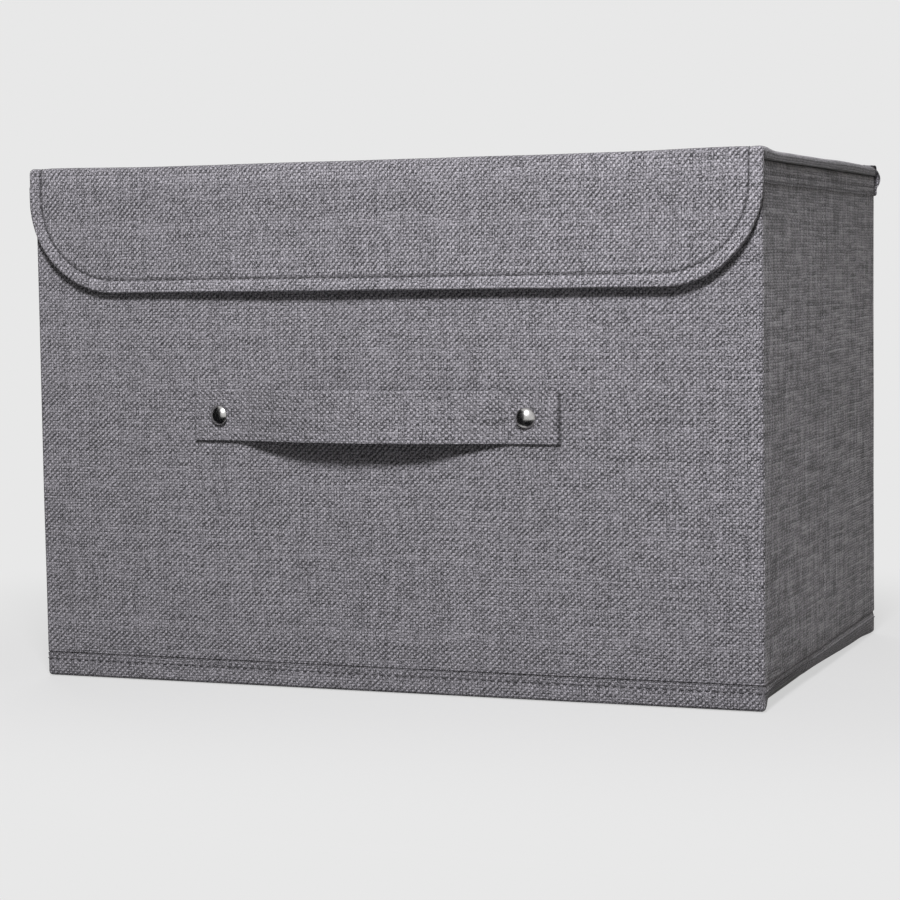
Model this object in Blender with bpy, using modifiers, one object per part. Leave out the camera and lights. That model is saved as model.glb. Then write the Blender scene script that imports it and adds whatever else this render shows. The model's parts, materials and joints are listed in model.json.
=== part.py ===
"""Collapsible fabric storage box with a hinged lid and front flap.

The frame has its origin at the centre of the underside, +Z up, the front towards -Y.
Every wall is a cloth cover round a board, closed by a lining.
Each side wall creases in the middle, so the box folds flat once its base board is raised.
All sizes are in metres.
"""

import math

import bmesh
import bpy
from mathutils import Vector

# Body
BOX_WIDTH = 0.380
BOX_DEPTH = 0.260
WALL_TOP = 0.2548

# Layers of a wall, from the outside in
CLOTH = 0.0008
WALL_BOARD = 0.0020
LINING = 0.0005

# Running clearance between any two pieces
GAP = 0.0003
EDGE_ROUND = 0.0011

# Hems: the turned top edge of each wall and the turned-up edge of the bottom cloth
TOP_HEM = 0.0106
HEM_PROUD = 0.0004
BOTTOM_HEM = 0.0115

# Folds
CREASE_GAP = 0.0010
FOLD_CLEARANCE = 0.0008

# Lid and flap
LID_BOARD = 0.0030
LID_OVERHANG = 0.0012
FLAP_BOARD = 0.0010
FLAP_DROP = 0.0630
FLAP_CORNER = 0.0480
FLAP_STANDOFF = 0.0005
STRIP_HEIGHT = 0.0190
STRIP_TOP_DROP = 0.0008

# Base board in its sleeve, with a pull tab
BASE_BOARD = 0.0020
BASE_SLEEVE = 0.0005
BASE_SIDE_CLEARANCE = 0.0010
BASE_FRONT_CLEARANCE = 0.0025
TAB_WIDTH = 0.0250
TAB_LENGTH = 0.0450
TAB_CLOTH = 0.0010
TAB_EDGE = 0.0040

# Strap handle
STRAP_LENGTH = 0.1930
STRAP_WIDTH = 0.0255
STRAP_THICKNESS = 0.0020
STRAP_HEIGHT = 0.1360
STRAP_SHIFT = -0.0040
STRAP_BULGE = 0.0100

# Rivets, set in from the strap's ends, and from there to where the strap starts to rise
RIVET_INSET = 0.0155
RIVET_SHIFT = -0.0018
BULGE_INSET = 0.0090
CAP_RADIUS = 0.0046
CAP_HEIGHT = 0.0022
CAP_RIM = 0.0005
POST_RADIUS = 0.0015
BACK_RADIUS = 0.0040
BACK_THICKNESS = 0.0008

# How far a cutter runs past what it cuts
OVERRUN = 0.0010

# Counts
ROUND_SEGMENTS = 2
CORNER_STEPS = 12
STRAP_STEPS = 36
STRAP_ROWS = 2
POST_SIDES = 24
DOME_STEPS = 6

# Materials: colour, roughness, metallic
FINISHES = {
    "cloth": ((0.205, 0.200, 0.215), 0.92, 0.0),
    "lining": ((0.300, 0.300, 0.310), 0.95, 0.0),
    "board": ((0.420, 0.300, 0.180), 0.90, 0.0),
    "nickel": ((0.560, 0.550, 0.540), 0.22, 1.0),
}

# Thickness of each built-up panel
wall_stack = CLOTH + GAP + WALL_BOARD + GAP + LINING
lid_stack = CLOTH + GAP + LID_BOARD + GAP + LINING
flap_stack = CLOTH + GAP + FLAP_BOARD + GAP + LINING
base_stack = BASE_SLEEVE + GAP + BASE_BOARD + GAP + BASE_SLEEVE

# Planes of the body
half_width = BOX_WIDTH / 2
half_depth = BOX_DEPTH / 2
inner_x = half_width - wall_stack
inner_y = half_depth - wall_stack
wall_bottom = BOTTOM_HEM + GAP

# Base board, lying on the bottom cloth and turning about its rear top edge
base_bottom = CLOTH + GAP
base_top = base_bottom + base_stack
base_hinge_y = inner_y - GAP - TAB_CLOTH - GAP

# Fold axes of the side walls, all upright
fold_rear_y = base_hinge_y - base_stack - FOLD_CLEARANCE
fold_front_y = -(inner_y - GAP - BACK_THICKNESS - FOLD_CLEARANCE)
fold_mid_y = (fold_rear_y + fold_front_y) / 2
fold_mid_x = half_width + HEM_PROUD + GAP

# Lid and flap
lid_bottom = WALL_TOP + GAP
lid_top = lid_bottom + lid_stack
lid_half_width = half_width + LID_OVERHANG
flap_outer_y = -(half_depth + HEM_PROUD + FLAP_STANDOFF + flap_stack)
lid_rear_y = half_depth + HEM_PROUD
strip_inner_y = lid_rear_y + GAP
lid_hinge_y = strip_inner_y + CLOTH + GAP

# Strap and rivets
strap_inner_y = -(half_depth + GAP)
bulge_length = STRAP_LENGTH - 2 * (RIVET_INSET + BULGE_INSET)
rivet_hole_radius = POST_RADIUS + GAP
rivet_xs = {
    side: STRAP_SHIFT + RIVET_SHIFT + sign * (STRAP_LENGTH / 2 - RIVET_INSET)
    for side, sign in (("left", -1), ("right", 1))
}


def clear_scene():
    for obj in list(bpy.data.objects):
        bpy.data.objects.remove(obj, do_unlink=True)


def new_collection(name):
    collection = bpy.data.collections.new(name)
    bpy.context.scene.collection.children.link(collection)
    return collection


def make_material(name):
    colour, roughness, metallic = FINISHES[name]
    material = bpy.data.materials.new(name)
    material.use_nodes = True
    shader = material.node_tree.nodes["Principled BSDF"]
    shader.inputs["Base Color"].default_value = (*colour, 1.0)
    shader.inputs["Roughness"].default_value = roughness
    shader.inputs["Metallic"].default_value = metallic
    material.diffuse_color = (*colour, 1.0)
    return material


def add_pivot(name, place, parent=None):
    """An empty on a joint's axis. Its place is in the frame of the whole box."""
    pivot = bpy.data.objects.new(name, None)
    parts.objects.link(pivot)
    pivot.empty_display_size = TAB_WIDTH
    pivot.parent = parent
    pivot.location = Vector(place) - (origin_of(parent) if parent else Vector())
    return pivot


def origin_of(obj):
    """Where an unrotated chain of empties puts this one."""
    place = Vector(obj.location)
    while obj.parent:
        obj = obj.parent
        place = place + obj.location
    return place


class Spot:
    """Where a piece is modelled: its pivot, and a local frame given by a place and a turn."""

    def __init__(self, pivot, place=(0, 0, 0), turn=(0, 0, 0)):
        self.pivot = pivot
        self.place = Vector(place)
        self.turn = turn

    def put(self, obj):
        obj.parent = self.pivot
        obj.location = self.place - (origin_of(self.pivot) if self.pivot else Vector())
        obj.rotation_euler = self.turn


def add_object(name, mesh, spot, finish=None):
    """A part when it has a finish, and a cutter when it has none."""
    obj = bpy.data.objects.new(name, mesh)
    spot.put(obj)
    if finish:
        parts.objects.link(obj)
        mesh.materials.append(materials[finish])
    else:
        cutters.objects.link(obj)
        obj.hide_render = True
        obj.display_type = "WIRE"
    return obj


def box(name, low, high, spot, finish=None):
    low, high = Vector(low), Vector(high)
    mesh = bpy.data.meshes.new(name)
    bm = bmesh.new()
    bmesh.ops.create_cube(bm, size=1.0)
    bmesh.ops.scale(bm, vec=high - low, verts=bm.verts)
    bmesh.ops.translate(bm, vec=(low + high) / 2, verts=bm.verts)
    bm.to_mesh(mesh)
    bm.free()
    return add_object(name, mesh, spot, finish)


def bore(name, radius, low_y, high_y, x, z, spot):
    """A round cutter along local Y."""
    mesh = bpy.data.meshes.new(name)
    bm = bmesh.new()
    depth = high_y - low_y
    bmesh.ops.create_cone(
        bm, cap_ends=True, segments=POST_SIDES, radius1=radius, radius2=radius, depth=depth
    )
    for vert in bm.verts:
        vert.co = Vector((x + vert.co.x, low_y + depth / 2 - vert.co.z, z + vert.co.y))
    bm.to_mesh(mesh)
    bm.free()
    return add_object(name, mesh, spot)


def slab(name, outline, low_y, high_y, spot, finish=None):
    """A flat outline in local X and Z, given its thickness along local Y."""
    curve = bpy.data.curves.new(name, "CURVE")
    curve.dimensions = "2D"
    curve.fill_mode = "BOTH"
    curve.extrude = (high_y - low_y) / 2
    spline = curve.splines.new("POLY")
    spline.points.add(len(outline) - 1)
    for point, (x, z) in zip(spline.points, outline):
        point.co = (x, z, 0, 1)
    spline.use_cyclic_u = True
    guide = bpy.data.objects.new(name, curve)
    cutters.objects.link(guide)
    depsgraph = bpy.context.evaluated_depsgraph_get()
    mesh = bpy.data.meshes.new_from_object(guide.evaluated_get(depsgraph))
    bpy.data.objects.remove(guide)
    bm = bmesh.new()
    bm.from_mesh(mesh)
    bmesh.ops.remove_doubles(bm, verts=bm.verts, dist=GAP / 10)
    middle = (low_y + high_y) / 2
    for vert in bm.verts:
        vert.co = Vector((vert.co.x, middle - vert.co.z, vert.co.y))
    bmesh.ops.recalc_face_normals(bm, faces=bm.faces)
    bm.to_mesh(mesh)
    bm.free()
    return add_object(name, mesh, spot, finish)


def boolean(target, tool, operation="DIFFERENCE"):
    modifier = target.modifiers.new(tool.name, "BOOLEAN")
    modifier.operation = operation
    modifier.solver = "EXACT"
    modifier.object = tool


def round_edges(obj, radius, face_y):
    """Rounds the rim of the face that lies at this local Y."""
    mesh = obj.data
    weights = mesh.attributes.new("bevel_weight_edge", "FLOAT", "EDGE")
    for edge in mesh.edges:
        on_face = all(abs(mesh.vertices[i].co.y - face_y) < GAP / 10 for i in edge.vertices)
        weights.data[edge.index].value = float(on_face)
    bevel = obj.modifiers.new("edges", "BEVEL")
    bevel.width = radius
    bevel.segments = ROUND_SEGMENTS
    bevel.limit_method = "WEIGHT"


def panel(name, spot, across, up, board, returns=0.0, hem=0.0, rounding=EDGE_ROUND):
    """Cover, board and lining of one stiffened panel.

    The local frame has X across, Z up and Y inwards from the outer face of the cover.
    The cover is a shallow tray whose rim wraps the board.
    Returns carry its two upright edges further round the corners of the box.
    """
    left, right = across
    low, high = up
    stack = CLOTH + GAP + board + GAP + LINING
    deep = stack + returns
    cover = box(f"{name}_cover", (left, 0, low), (right, deep, high), spot, "cloth")
    round_edges(cover, rounding, 0)
    if hem:
        side = HEM_PROUD if returns else 0
        band = box(
            f"{name}_hem",
            (left - side, -HEM_PROUD, high - hem),
            (right + side, deep, high),
            spot,
        )
        round_edges(band, HEM_PROUD / 2, -HEM_PROUD)
        boolean(cover, band, "UNION")
    cavity = box(
        f"{name}_cavity",
        (left + CLOTH, CLOTH, low + CLOTH),
        (right - CLOTH, deep + OVERRUN, high - CLOTH),
        spot,
    )
    boolean(cover, cavity)
    if returns:
        trim = box(
            f"{name}_trim",
            (left + CLOTH, stack, low - OVERRUN),
            (right - CLOTH, deep + OVERRUN, high + OVERRUN),
            spot,
        )
        boolean(cover, trim)
    inset = CLOTH + GAP
    inner = (left + inset, right - inset, low + inset, high - inset)
    board_face = CLOTH + GAP
    board_back = board_face + board
    stiffener = box(
        f"{name}_board",
        (inner[0], board_face, inner[2]),
        (inner[1], board_back, inner[3]),
        spot,
        "board",
    )
    lining = box(
        f"{name}_lining",
        (inner[0], board_back + GAP, inner[2]),
        (inner[1], stack, inner[3]),
        spot,
        "lining",
    )
    return cover, stiffener, lining


def make_rear_wall():
    spot = Spot(None, (0, half_depth, 0), (0, 0, math.pi))
    panel(
        "rear",
        spot,
        (-half_width, half_width),
        (wall_bottom, WALL_TOP),
        WALL_BOARD,
        returns=inner_y - fold_rear_y - GAP,
        hem=TOP_HEM,
    )


def make_bottom_cloth():
    """The bottom sheet with its edge turned up as a hem round the foot of the walls."""
    spot = Spot(None)
    cloth = box(
        "bottom_cloth",
        (-half_width, -half_depth, 0),
        (half_width, half_depth, BOTTOM_HEM),
        spot,
        "cloth",
    )
    inside = box(
        "bottom_inside",
        (CLOTH - half_width, CLOTH - half_depth, CLOTH),
        (half_width - CLOTH, half_depth - CLOTH, BOTTOM_HEM + OVERRUN),
        spot,
    )
    boolean(cloth, inside)


def make_lid_hinge_strip():
    """The tail of the lid's cloth, sewn down the outside of the rear wall."""
    top = lid_top - STRIP_TOP_DROP
    box(
        "lid_hinge_strip",
        (-lid_half_width, strip_inner_y, top - STRIP_HEIGHT),
        (lid_half_width, strip_inner_y + CLOTH, top),
        Spot(None),
        "cloth",
    )


def make_side_walls(pivots):
    """Each side is two half panels that meet at an upright crease."""
    rear_half = (fold_mid_y + CREASE_GAP / 2, fold_rear_y)
    front_half = (fold_front_y, fold_mid_y - CREASE_GAP / 2)
    for side, sign in (("right", 1), ("left", -1)):
        for part, span in (("rear", rear_half), ("front", front_half)):
            name = f"{side}_{part}"
            spot = Spot(pivots[name], (sign * half_width, 0, 0), (0, 0, sign * math.pi / 2))
            across = sorted(sign * y for y in span)
            panel(name, spot, across, (wall_bottom, WALL_TOP), WALL_BOARD, hem=TOP_HEM)


def make_front_wall(pivot):
    spot = Spot(pivot, (0, -half_depth, 0))
    layers = panel(
        "front",
        spot,
        (-half_width, half_width),
        (wall_bottom, WALL_TOP),
        WALL_BOARD,
        returns=inner_y + fold_front_y - GAP,
        hem=TOP_HEM,
    )
    for side, x in rivet_xs.items():
        hole = bore(
            f"rivet_hole_{side}",
            rivet_hole_radius,
            -OVERRUN,
            wall_stack + OVERRUN,
            x,
            STRAP_HEIGHT,
            spot,
        )
        for layer in layers:
            boolean(layer, hole)


def strap_lift(x):
    """How far the strap stands off the wall, at a distance x from its middle."""
    share = min(abs(x) / (bulge_length / 2), 1.0)
    return STRAP_BULGE * (1 + math.cos(math.pi * share)) / 2


def make_strap(pivot):
    """A flat strap that bulges away from the wall between its two rivets."""
    spot = Spot(pivot, (STRAP_SHIFT, strap_inner_y, STRAP_HEIGHT))
    mesh = bpy.data.meshes.new("strap_handle")
    bm = bmesh.new()
    bmesh.ops.create_grid(bm, x_segments=STRAP_STEPS, y_segments=STRAP_ROWS, size=1.0)
    for vert in bm.verts:
        x = vert.co.x * STRAP_LENGTH / 2
        vert.co = Vector((x, -strap_lift(x), vert.co.y * STRAP_WIDTH / 2))
    bm.to_mesh(mesh)
    bm.free()
    strap = add_object("strap_handle", mesh, spot, "cloth")
    thicken = strap.modifiers.new("thickness", "SOLIDIFY")
    thicken.thickness = STRAP_THICKNESS
    thicken.offset = 1.0
    for side, x in rivet_xs.items():
        hole = bore(
            f"strap_hole_{side}",
            rivet_hole_radius,
            -STRAP_THICKNESS - OVERRUN,
            OVERRUN,
            x - STRAP_SHIFT,
            0,
            spot,
        )
        boolean(strap, hole)
    mesh.shade_smooth()


def turned(name, profile, spot, finish, ring=False):
    """A profile of (radius, height) turned about local Z. A ring's profile is a loop."""
    mesh = bpy.data.meshes.new(name)
    bm = bmesh.new()
    verts = [bm.verts.new((radius, 0, height)) for radius, height in profile]
    for one, two in zip(verts, verts[1:] + verts[:1] if ring else verts[1:]):
        bm.edges.new((one, two))
    bm.to_mesh(mesh)
    bm.free()
    obj = add_object(name, mesh, spot, finish)
    screw = obj.modifiers.new("turn", "SCREW")
    screw.steps = POST_SIDES
    screw.render_steps = POST_SIDES
    screw.use_merge_vertices = True
    screw.merge_threshold = GAP / 10
    return obj


def make_rivets(pivot):
    """A domed cap whose post runs through strap and wall into a flat back."""
    under_cap = GAP
    post_length = GAP + STRAP_THICKNESS + GAP + wall_stack + GAP + BACK_THICKNESS
    dome = [
        (
            CAP_RADIUS * math.cos(step * math.pi / 2 / DOME_STEPS),
            under_cap + CAP_RIM + (CAP_HEIGHT - CAP_RIM) * math.sin(step * math.pi / 2 / DOME_STEPS),
        )
        for step in range(DOME_STEPS, -1, -1)
    ]
    dome[0] = (0, under_cap + CAP_HEIGHT)
    stem = [
        (CAP_RADIUS, under_cap),
        (POST_RADIUS, under_cap),
        (POST_RADIUS, under_cap - post_length),
        (0, under_cap - post_length),
    ]
    back = [
        (rivet_hole_radius, BACK_THICKNESS),
        (BACK_RADIUS - CAP_RIM, BACK_THICKNESS),
        (BACK_RADIUS, BACK_THICKNESS - CAP_RIM),
        (BACK_RADIUS, 0),
        (rivet_hole_radius, 0),
    ]
    outward = (math.pi / 2, 0, 0)
    for side, x in rivet_xs.items():
        strap_face = strap_inner_y - STRAP_THICKNESS
        cap_spot = Spot(pivot, (x, strap_face, STRAP_HEIGHT), outward)
        turned(f"rivet_stud_{side}", dome + stem, cap_spot, "nickel")
        back_face = -inner_y + GAP
        back_spot = Spot(pivot, (x, back_face, STRAP_HEIGHT), (-math.pi / 2, 0, 0))
        turned(f"rivet_back_{side}", back, back_spot, "nickel", ring=True)


def make_base(pivot):
    """The loose base board slides into a cloth sleeve that is open at its front edge."""
    spot = Spot(pivot)
    side = inner_x - BASE_SIDE_CLEARANCE
    front = -(inner_y - BASE_FRONT_CLEARANCE)
    rear = base_hinge_y - GAP
    sleeve = box("base_cover", (-side, front, base_bottom), (side, rear, base_top), spot, "cloth")
    pocket = box(
        "base_pocket",
        (BASE_SLEEVE - side, front - OVERRUN, base_bottom + BASE_SLEEVE),
        (side - BASE_SLEEVE, rear - BASE_SLEEVE, base_top - BASE_SLEEVE),
        spot,
    )
    boolean(sleeve, pocket)
    inset = BASE_SLEEVE + GAP
    box(
        "base_board",
        (inset - side, front, base_bottom + inset),
        (side - inset, rear - inset, base_top - inset),
        spot,
        "board",
    )
    tab_bottom = base_top + GAP
    tab_front = front + TAB_EDGE
    round_end = TAB_WIDTH / 2
    straight_end = tab_front + TAB_LENGTH - round_end
    outline = [(-round_end, tab_front), (round_end, tab_front)]
    outline += arc((0, straight_end), round_end, 0, math.pi, 2 * CORNER_STEPS)
    flat = Spot(pivot, (0, 0, tab_bottom + TAB_CLOTH), (-math.pi / 2, 0, 0))
    slab("pull_tab", outline, 0, TAB_CLOTH, flat, "lining")


def make_lid(pivot):
    spot = Spot(pivot, (0, 0, lid_top), (-math.pi / 2, 0, 0))
    panel(
        "lid",
        spot,
        (-lid_half_width, lid_half_width),
        (flap_outer_y + GAP, lid_rear_y),
        LID_BOARD,
    )


def arc(centre, radius, start, end, steps):
    return [
        (
            centre[0] + radius * math.cos(start + (end - start) * step / steps),
            centre[1] + radius * math.sin(start + (end - start) * step / steps),
        )
        for step in range(steps + 1)
    ]


def flap_outline(inset):
    """A rectangle with two large round lower corners, drawn in all round by the inset."""
    side = lid_half_width - inset
    top = lid_bottom - GAP - inset
    bottom = lid_top - FLAP_DROP + inset
    corner = min(FLAP_CORNER - inset, top - bottom - inset)
    outline = [(side, top), (-side, top)]
    outline += arc(
        (corner - side, bottom + corner), corner, math.pi, 3 * math.pi / 2, CORNER_STEPS
    )
    outline += arc(
        (side - corner, bottom + corner), corner, 3 * math.pi / 2, 2 * math.pi, CORNER_STEPS
    )
    return outline


def make_flap(pivot):
    spot = Spot(pivot, (0, flap_outer_y, 0))
    cover = slab("flap_cover", flap_outline(0), 0, flap_stack, spot, "cloth")
    round_edges(cover, EDGE_ROUND, 0)
    cavity = slab("flap_cavity", flap_outline(CLOTH), CLOTH, flap_stack + OVERRUN, spot)
    boolean(cover, cavity)
    inner = flap_outline(CLOTH + GAP)
    board_face = CLOTH + GAP
    board_back = board_face + FLAP_BOARD
    slab("flap_board", inner, board_face, board_back, spot, "board")
    slab("flap_lining", inner, board_back + GAP, flap_stack, spot, "lining")


def make_pivots():
    """One empty on the axis of each joint, in the order that the box folds."""
    rear = fold_rear_y
    front = fold_front_y
    pivots = {}
    for side, sign in (("right", 1), ("left", -1)):
        first = add_pivot(f"{side}_rear_pivot", (sign * inner_x, rear, 0))
        second = add_pivot(f"{side}_mid_pivot", (sign * fold_mid_x, fold_mid_y, 0), first)
        pivots[f"{side}_rear"] = first
        pivots[f"{side}_front"] = second
    pivots["front"] = add_pivot("front_pivot", (inner_x, front, 0), pivots["right_front"])
    pivots["base"] = add_pivot("base_pivot", (0, base_hinge_y, base_top))
    pivots["lid"] = add_pivot("lid_pivot", (0, lid_hinge_y, lid_top))
    pivots["flap"] = add_pivot("flap_pivot", (0, flap_outer_y, lid_top), pivots["lid"])
    return pivots


clear_scene()
parts = new_collection("fabric_storage_box")
cutters = new_collection("cutters")
materials = {name: make_material(name) for name in FINISHES}
pivots = make_pivots()
make_rear_wall()
make_bottom_cloth()
make_lid_hinge_strip()
make_side_walls(pivots)
make_front_wall(pivots["front"])
make_strap(pivots["front"])
make_rivets(pivots["front"])
make_base(pivots["base"])
make_lid(pivots["lid"])
make_flap(pivots["flap"])
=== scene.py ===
"""The looks of a collapsible fabric storage box with a hinged lid, a front flap and a strap handle.

Melange cloth is stretched over boards wall by wall, and runs on round the corners and the creases.
Run as a script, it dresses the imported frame. All sizes are in metres, in the frame's own axes.
"""

import json
import math
from collections import namedtuple

import bmesh
import bpy
from bpy.props import FloatProperty, FloatVectorProperty, IntProperty, PointerProperty
from bpy.types import Operator, Panel, PropertyGroup
from mathutils import Matrix, Vector, noise


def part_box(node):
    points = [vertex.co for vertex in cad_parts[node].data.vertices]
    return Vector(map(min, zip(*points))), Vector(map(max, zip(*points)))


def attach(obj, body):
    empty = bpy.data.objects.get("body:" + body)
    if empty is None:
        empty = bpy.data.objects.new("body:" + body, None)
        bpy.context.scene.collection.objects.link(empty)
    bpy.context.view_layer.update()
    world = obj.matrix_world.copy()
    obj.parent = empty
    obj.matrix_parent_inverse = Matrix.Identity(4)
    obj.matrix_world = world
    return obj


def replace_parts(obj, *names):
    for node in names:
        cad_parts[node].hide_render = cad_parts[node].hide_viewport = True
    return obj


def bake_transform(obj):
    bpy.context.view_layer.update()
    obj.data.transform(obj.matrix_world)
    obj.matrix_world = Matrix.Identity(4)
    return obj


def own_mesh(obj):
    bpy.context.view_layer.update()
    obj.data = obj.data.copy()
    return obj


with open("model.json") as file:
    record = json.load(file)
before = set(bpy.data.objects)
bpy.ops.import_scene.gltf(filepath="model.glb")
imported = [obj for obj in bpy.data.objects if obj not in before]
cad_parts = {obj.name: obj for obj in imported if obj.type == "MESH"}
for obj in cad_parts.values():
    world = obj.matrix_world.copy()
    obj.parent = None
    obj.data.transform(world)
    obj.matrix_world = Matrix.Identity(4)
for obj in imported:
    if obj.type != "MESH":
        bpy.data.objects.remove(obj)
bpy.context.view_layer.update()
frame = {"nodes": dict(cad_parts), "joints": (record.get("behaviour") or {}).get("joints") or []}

bl_info = {
    "name": "Fabric Storage Box",
    "version": (1, 0, 0),
    "blender": (4, 5, 0),
    "location": "View3D > Sidebar > Storage Box",
    "description": "Dresses a folding storage box in cloth, lining, board and nickel",
    "category": "Object",
}

SIDES = (("right", 1), ("left", -1))

node_boxes = {name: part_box(name) for name in frame["nodes"]}


def low(node):
    return node_boxes[node][0]


def high(node):
    return node_boxes[node][1]


def middle(node):
    return (low(node) + high(node)) / 2


def hinge(joint):
    """A point on a joint's axis."""
    return Vector(next(j["pos_m"] for j in frame["joints"] if j["name"] == joint))


# Planes of the frame that the cloth follows
half_width = high("bottom_cloth").x
half_depth = high("bottom_cloth").y
foot_top = high("bottom_cloth").z
wall_low = low("front_cover").z
wall_high = high("front_cover").z
wall_stack = half_depth + high("front_lining").y
lid_half = high("lid_cover").x
lid_top = high("lid_cover").z
lid_stack = lid_top - low("lid_cover").z
flap_stack = high("flap_cover").y - low("flap_cover").y
strap_middle = middle("strap_handle")
strap_size = high("strap_handle") - low("strap_handle")


def metres(name, description, default, least=0.0):
    """A property that holds a size."""
    return FloatProperty(
        name=name, description=description, default=default, min=least, unit="LENGTH", precision=5
    )


def colour(name, description, default):
    """A property that holds a colour."""
    return FloatVectorProperty(
        name=name, description=description, default=default, size=3, min=0, max=1, subtype="COLOR"
    )


def watts(name, description, default):
    """A property that holds the power of a lamp."""
    return FloatProperty(name=name, description=description, default=default, min=0, unit="POWER")


class ClothSettings(PropertyGroup):
    warp_pitch: metres("Warp Pitch", "Distance from one upright yarn to the next", 0.00151, 0.0002)
    weft_pitch: metres("Weft Pitch", "Distance from one level yarn to the next", 0.00138, 0.0002)
    pale_yarn: colour("Pale Yarn", "Colour of the palest yarns", (0.446, 0.431, 0.464))
    dark_yarn: colour("Dark Yarn", "Colour of the darkest yarns", (0.028, 0.028, 0.030))
    thread: colour("Sewing Thread", "Colour of the stitches", (0.050, 0.048, 0.053))
    thickness: metres("Cloth Thickness", "Thickness of one layer of cloth", 0.0007, 0.0003)
    swell: metres("Swell", "How far the cloth rises and falls over its board", 0.00028)
    mesh_step: metres("Mesh Step", "Distance between the lines of a cloth's mesh", 0.0052, 0.002)
    stitch_length: metres("Stitch Length", "Length of thread that shows in one stitch", 0.0030, 0.001)
    stitch_gap: metres("Stitch Gap", "Distance from one stitch to the next", 0.0011, 0.0002)
    thread_radius: metres("Thread Radius", "Half the thickness of the sewing thread", 0.00030, 0.0001)


class WallSettings(PropertyGroup):
    corner_radius: metres("Corner Radius", "How round the upright corners are", 0.0020, 0.001)
    edge_radius: metres("Edge Radius", "How round the top and bottom edges are", 0.0014, 0.001)
    hem_height: metres("Hem Height", "Height of the turned top edge", 0.0106, 0.004)
    hem_proud: metres("Hem Proud", "How far the turned top edge stands out", 0.0004)
    upper_row: metres("Upper Stitch Row", "Distance below the top edge", 0.0063, 0.001)
    lower_row: metres("Lower Stitch Row", "Distance below the top edge", 0.0097, 0.001)
    foot_row: metres("Foot Stitch Row", "Height of the row on the turned-up bottom cloth", 0.0088, 0.001)
    wrap: metres("Corner Wrap", "How far a corner's cloth runs on each side", 0.0080, 0.004)
    crease_reach: metres("Crease Reach", "How far a crease bends the cloth on each side", 0.0052, 0.002)
    crease_depth: metres("Crease Depth", "Depth of the upright crease in each side", 0.00035)
    hem_lap: metres("Hem Lap", "How far the foot's hem laps over the walls", 0.0007)
    side_tuck: metres("Side Tuck", "How far the foot of the sides turns under", 0.0088)


class LidSettings(PropertyGroup):
    nose_radius: metres("Nose Radius", "How round the lid's front edge is", 0.0030, 0.0015)
    side_radius: metres("Side Radius", "How round the lid's side edges are", 0.0020, 0.001)
    crown: metres("Crown", "How far the lid's cloth stands over its board", 0.0009)
    sag: metres("Sag", "How far the lid's cloth falls away behind its front edge", 0.0005)
    flap_corner: metres("Flap Corner", "Radius of the flap's lower corners", 0.0480, 0.005)
    flap_lift: metres("Flap Lift", "How far the flap's lower edge stands off the wall", 0.0023)
    topstitch_inset: metres(
        "Topstitch Inset", "Distance of the topstitching from the edge", 0.0068, 0.002
    )
    tape_reach: metres("Tape Reach", "How far the hinge tape runs on over the lid", 0.0085, 0.003)
    tape_bulge: metres("Tape Bulge", "How far the hinge tape puffs out behind the lid", 0.0022)
    tape_spread: metres(
        "Tape Spread", "How far the puffed ends of the hinge tape stand out sideways", 0.0017
    )
    tape_tail: metres(
        "Tape Tail", "How far above the hinge strip's foot the tape's cut edge is", 0.0038
    )


class FittingSettings(PropertyGroup):
    strap_thickness: metres(
        "Strap Thickness", "Thickness of the strap's doubled cloth", 0.0012, 0.0005
    )
    rise_inset: metres("Rise Inset", "Distance from a rivet to where the strap leaves the wall", 0.0062)
    strap_edge: metres("Strap Edge", "How round the strap's edges are", 0.0005, 0.0002)
    cap_tilt: FloatProperty(
        name="Cap Tilt", description="How far the strap's rise tips each rivet's cap",
        default=math.radians(12), min=0, subtype="ANGLE",
    )
    cap_sides: IntProperty(
        name="Cap Sides", description="Number of sides that a turned metal piece has",
        default=64, min=12,
    )
    lining: colour("Lining", "Colour of the non-woven lining", (0.300, 0.300, 0.310))
    board: colour("Board", "Colour of the boards", (0.420, 0.300, 0.180))
    nickel: colour("Nickel", "Colour of the rivets", (0.560, 0.550, 0.540))


class StageSettings(PropertyGroup):
    background: colour("Background", "Colour of the backdrop", (0.807, 0.807, 0.807))
    floor: colour("Floor", "Colour of the floor near the box", (0.560, 0.560, 0.560))
    fill: FloatProperty(
        name="Fill", description="Strength of the even light from all round", default=0.18, min=0,
    )
    key_power: watts("Key Power", "Power of the soft lamp above the front", 18.7)
    side_power: watts("Side Power", "Power of the low lamp on the right", 0.30)
    rear_power: watts("Rear Power", "Power of the large lamp behind", 30.0)


def settings():
    scene = bpy.context.scene
    return scene.box_cloth, scene.box_walls, scene.box_lid, scene.box_fittings


def smooth(value, start, end):
    """0 before start, 1 after end, and an even ease between them."""
    share = min(max((value - start) / (end - start), 0.0), 1.0)
    return share * share * (3 - 2 * share)


def dip(distance, width):
    """A soft groove: 1 in its middle, and near 0 a width away."""
    return math.exp(-((distance / width) ** 2))


def ripple(u, v, per_u, per_v, layer):
    """Smooth noise between -1 and 1 over a flat place. Each layer has a pattern of its own."""
    return noise.noise(Vector((u * per_u, v * per_v, layer)))


def quarter(radius):
    """The length of a quarter round."""
    return math.pi * radius / 2


def add_object(name, data):
    obj = bpy.data.objects.new(name, data)
    bpy.context.scene.collection.objects.link(obj)
    return obj


def mesh_from(bm, name, material):
    mesh = bpy.data.meshes.new(name)
    bm.to_mesh(mesh)
    bm.free()
    mesh.materials.append(bpy.data.materials[material])
    return mesh


# Shader node groups


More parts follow.
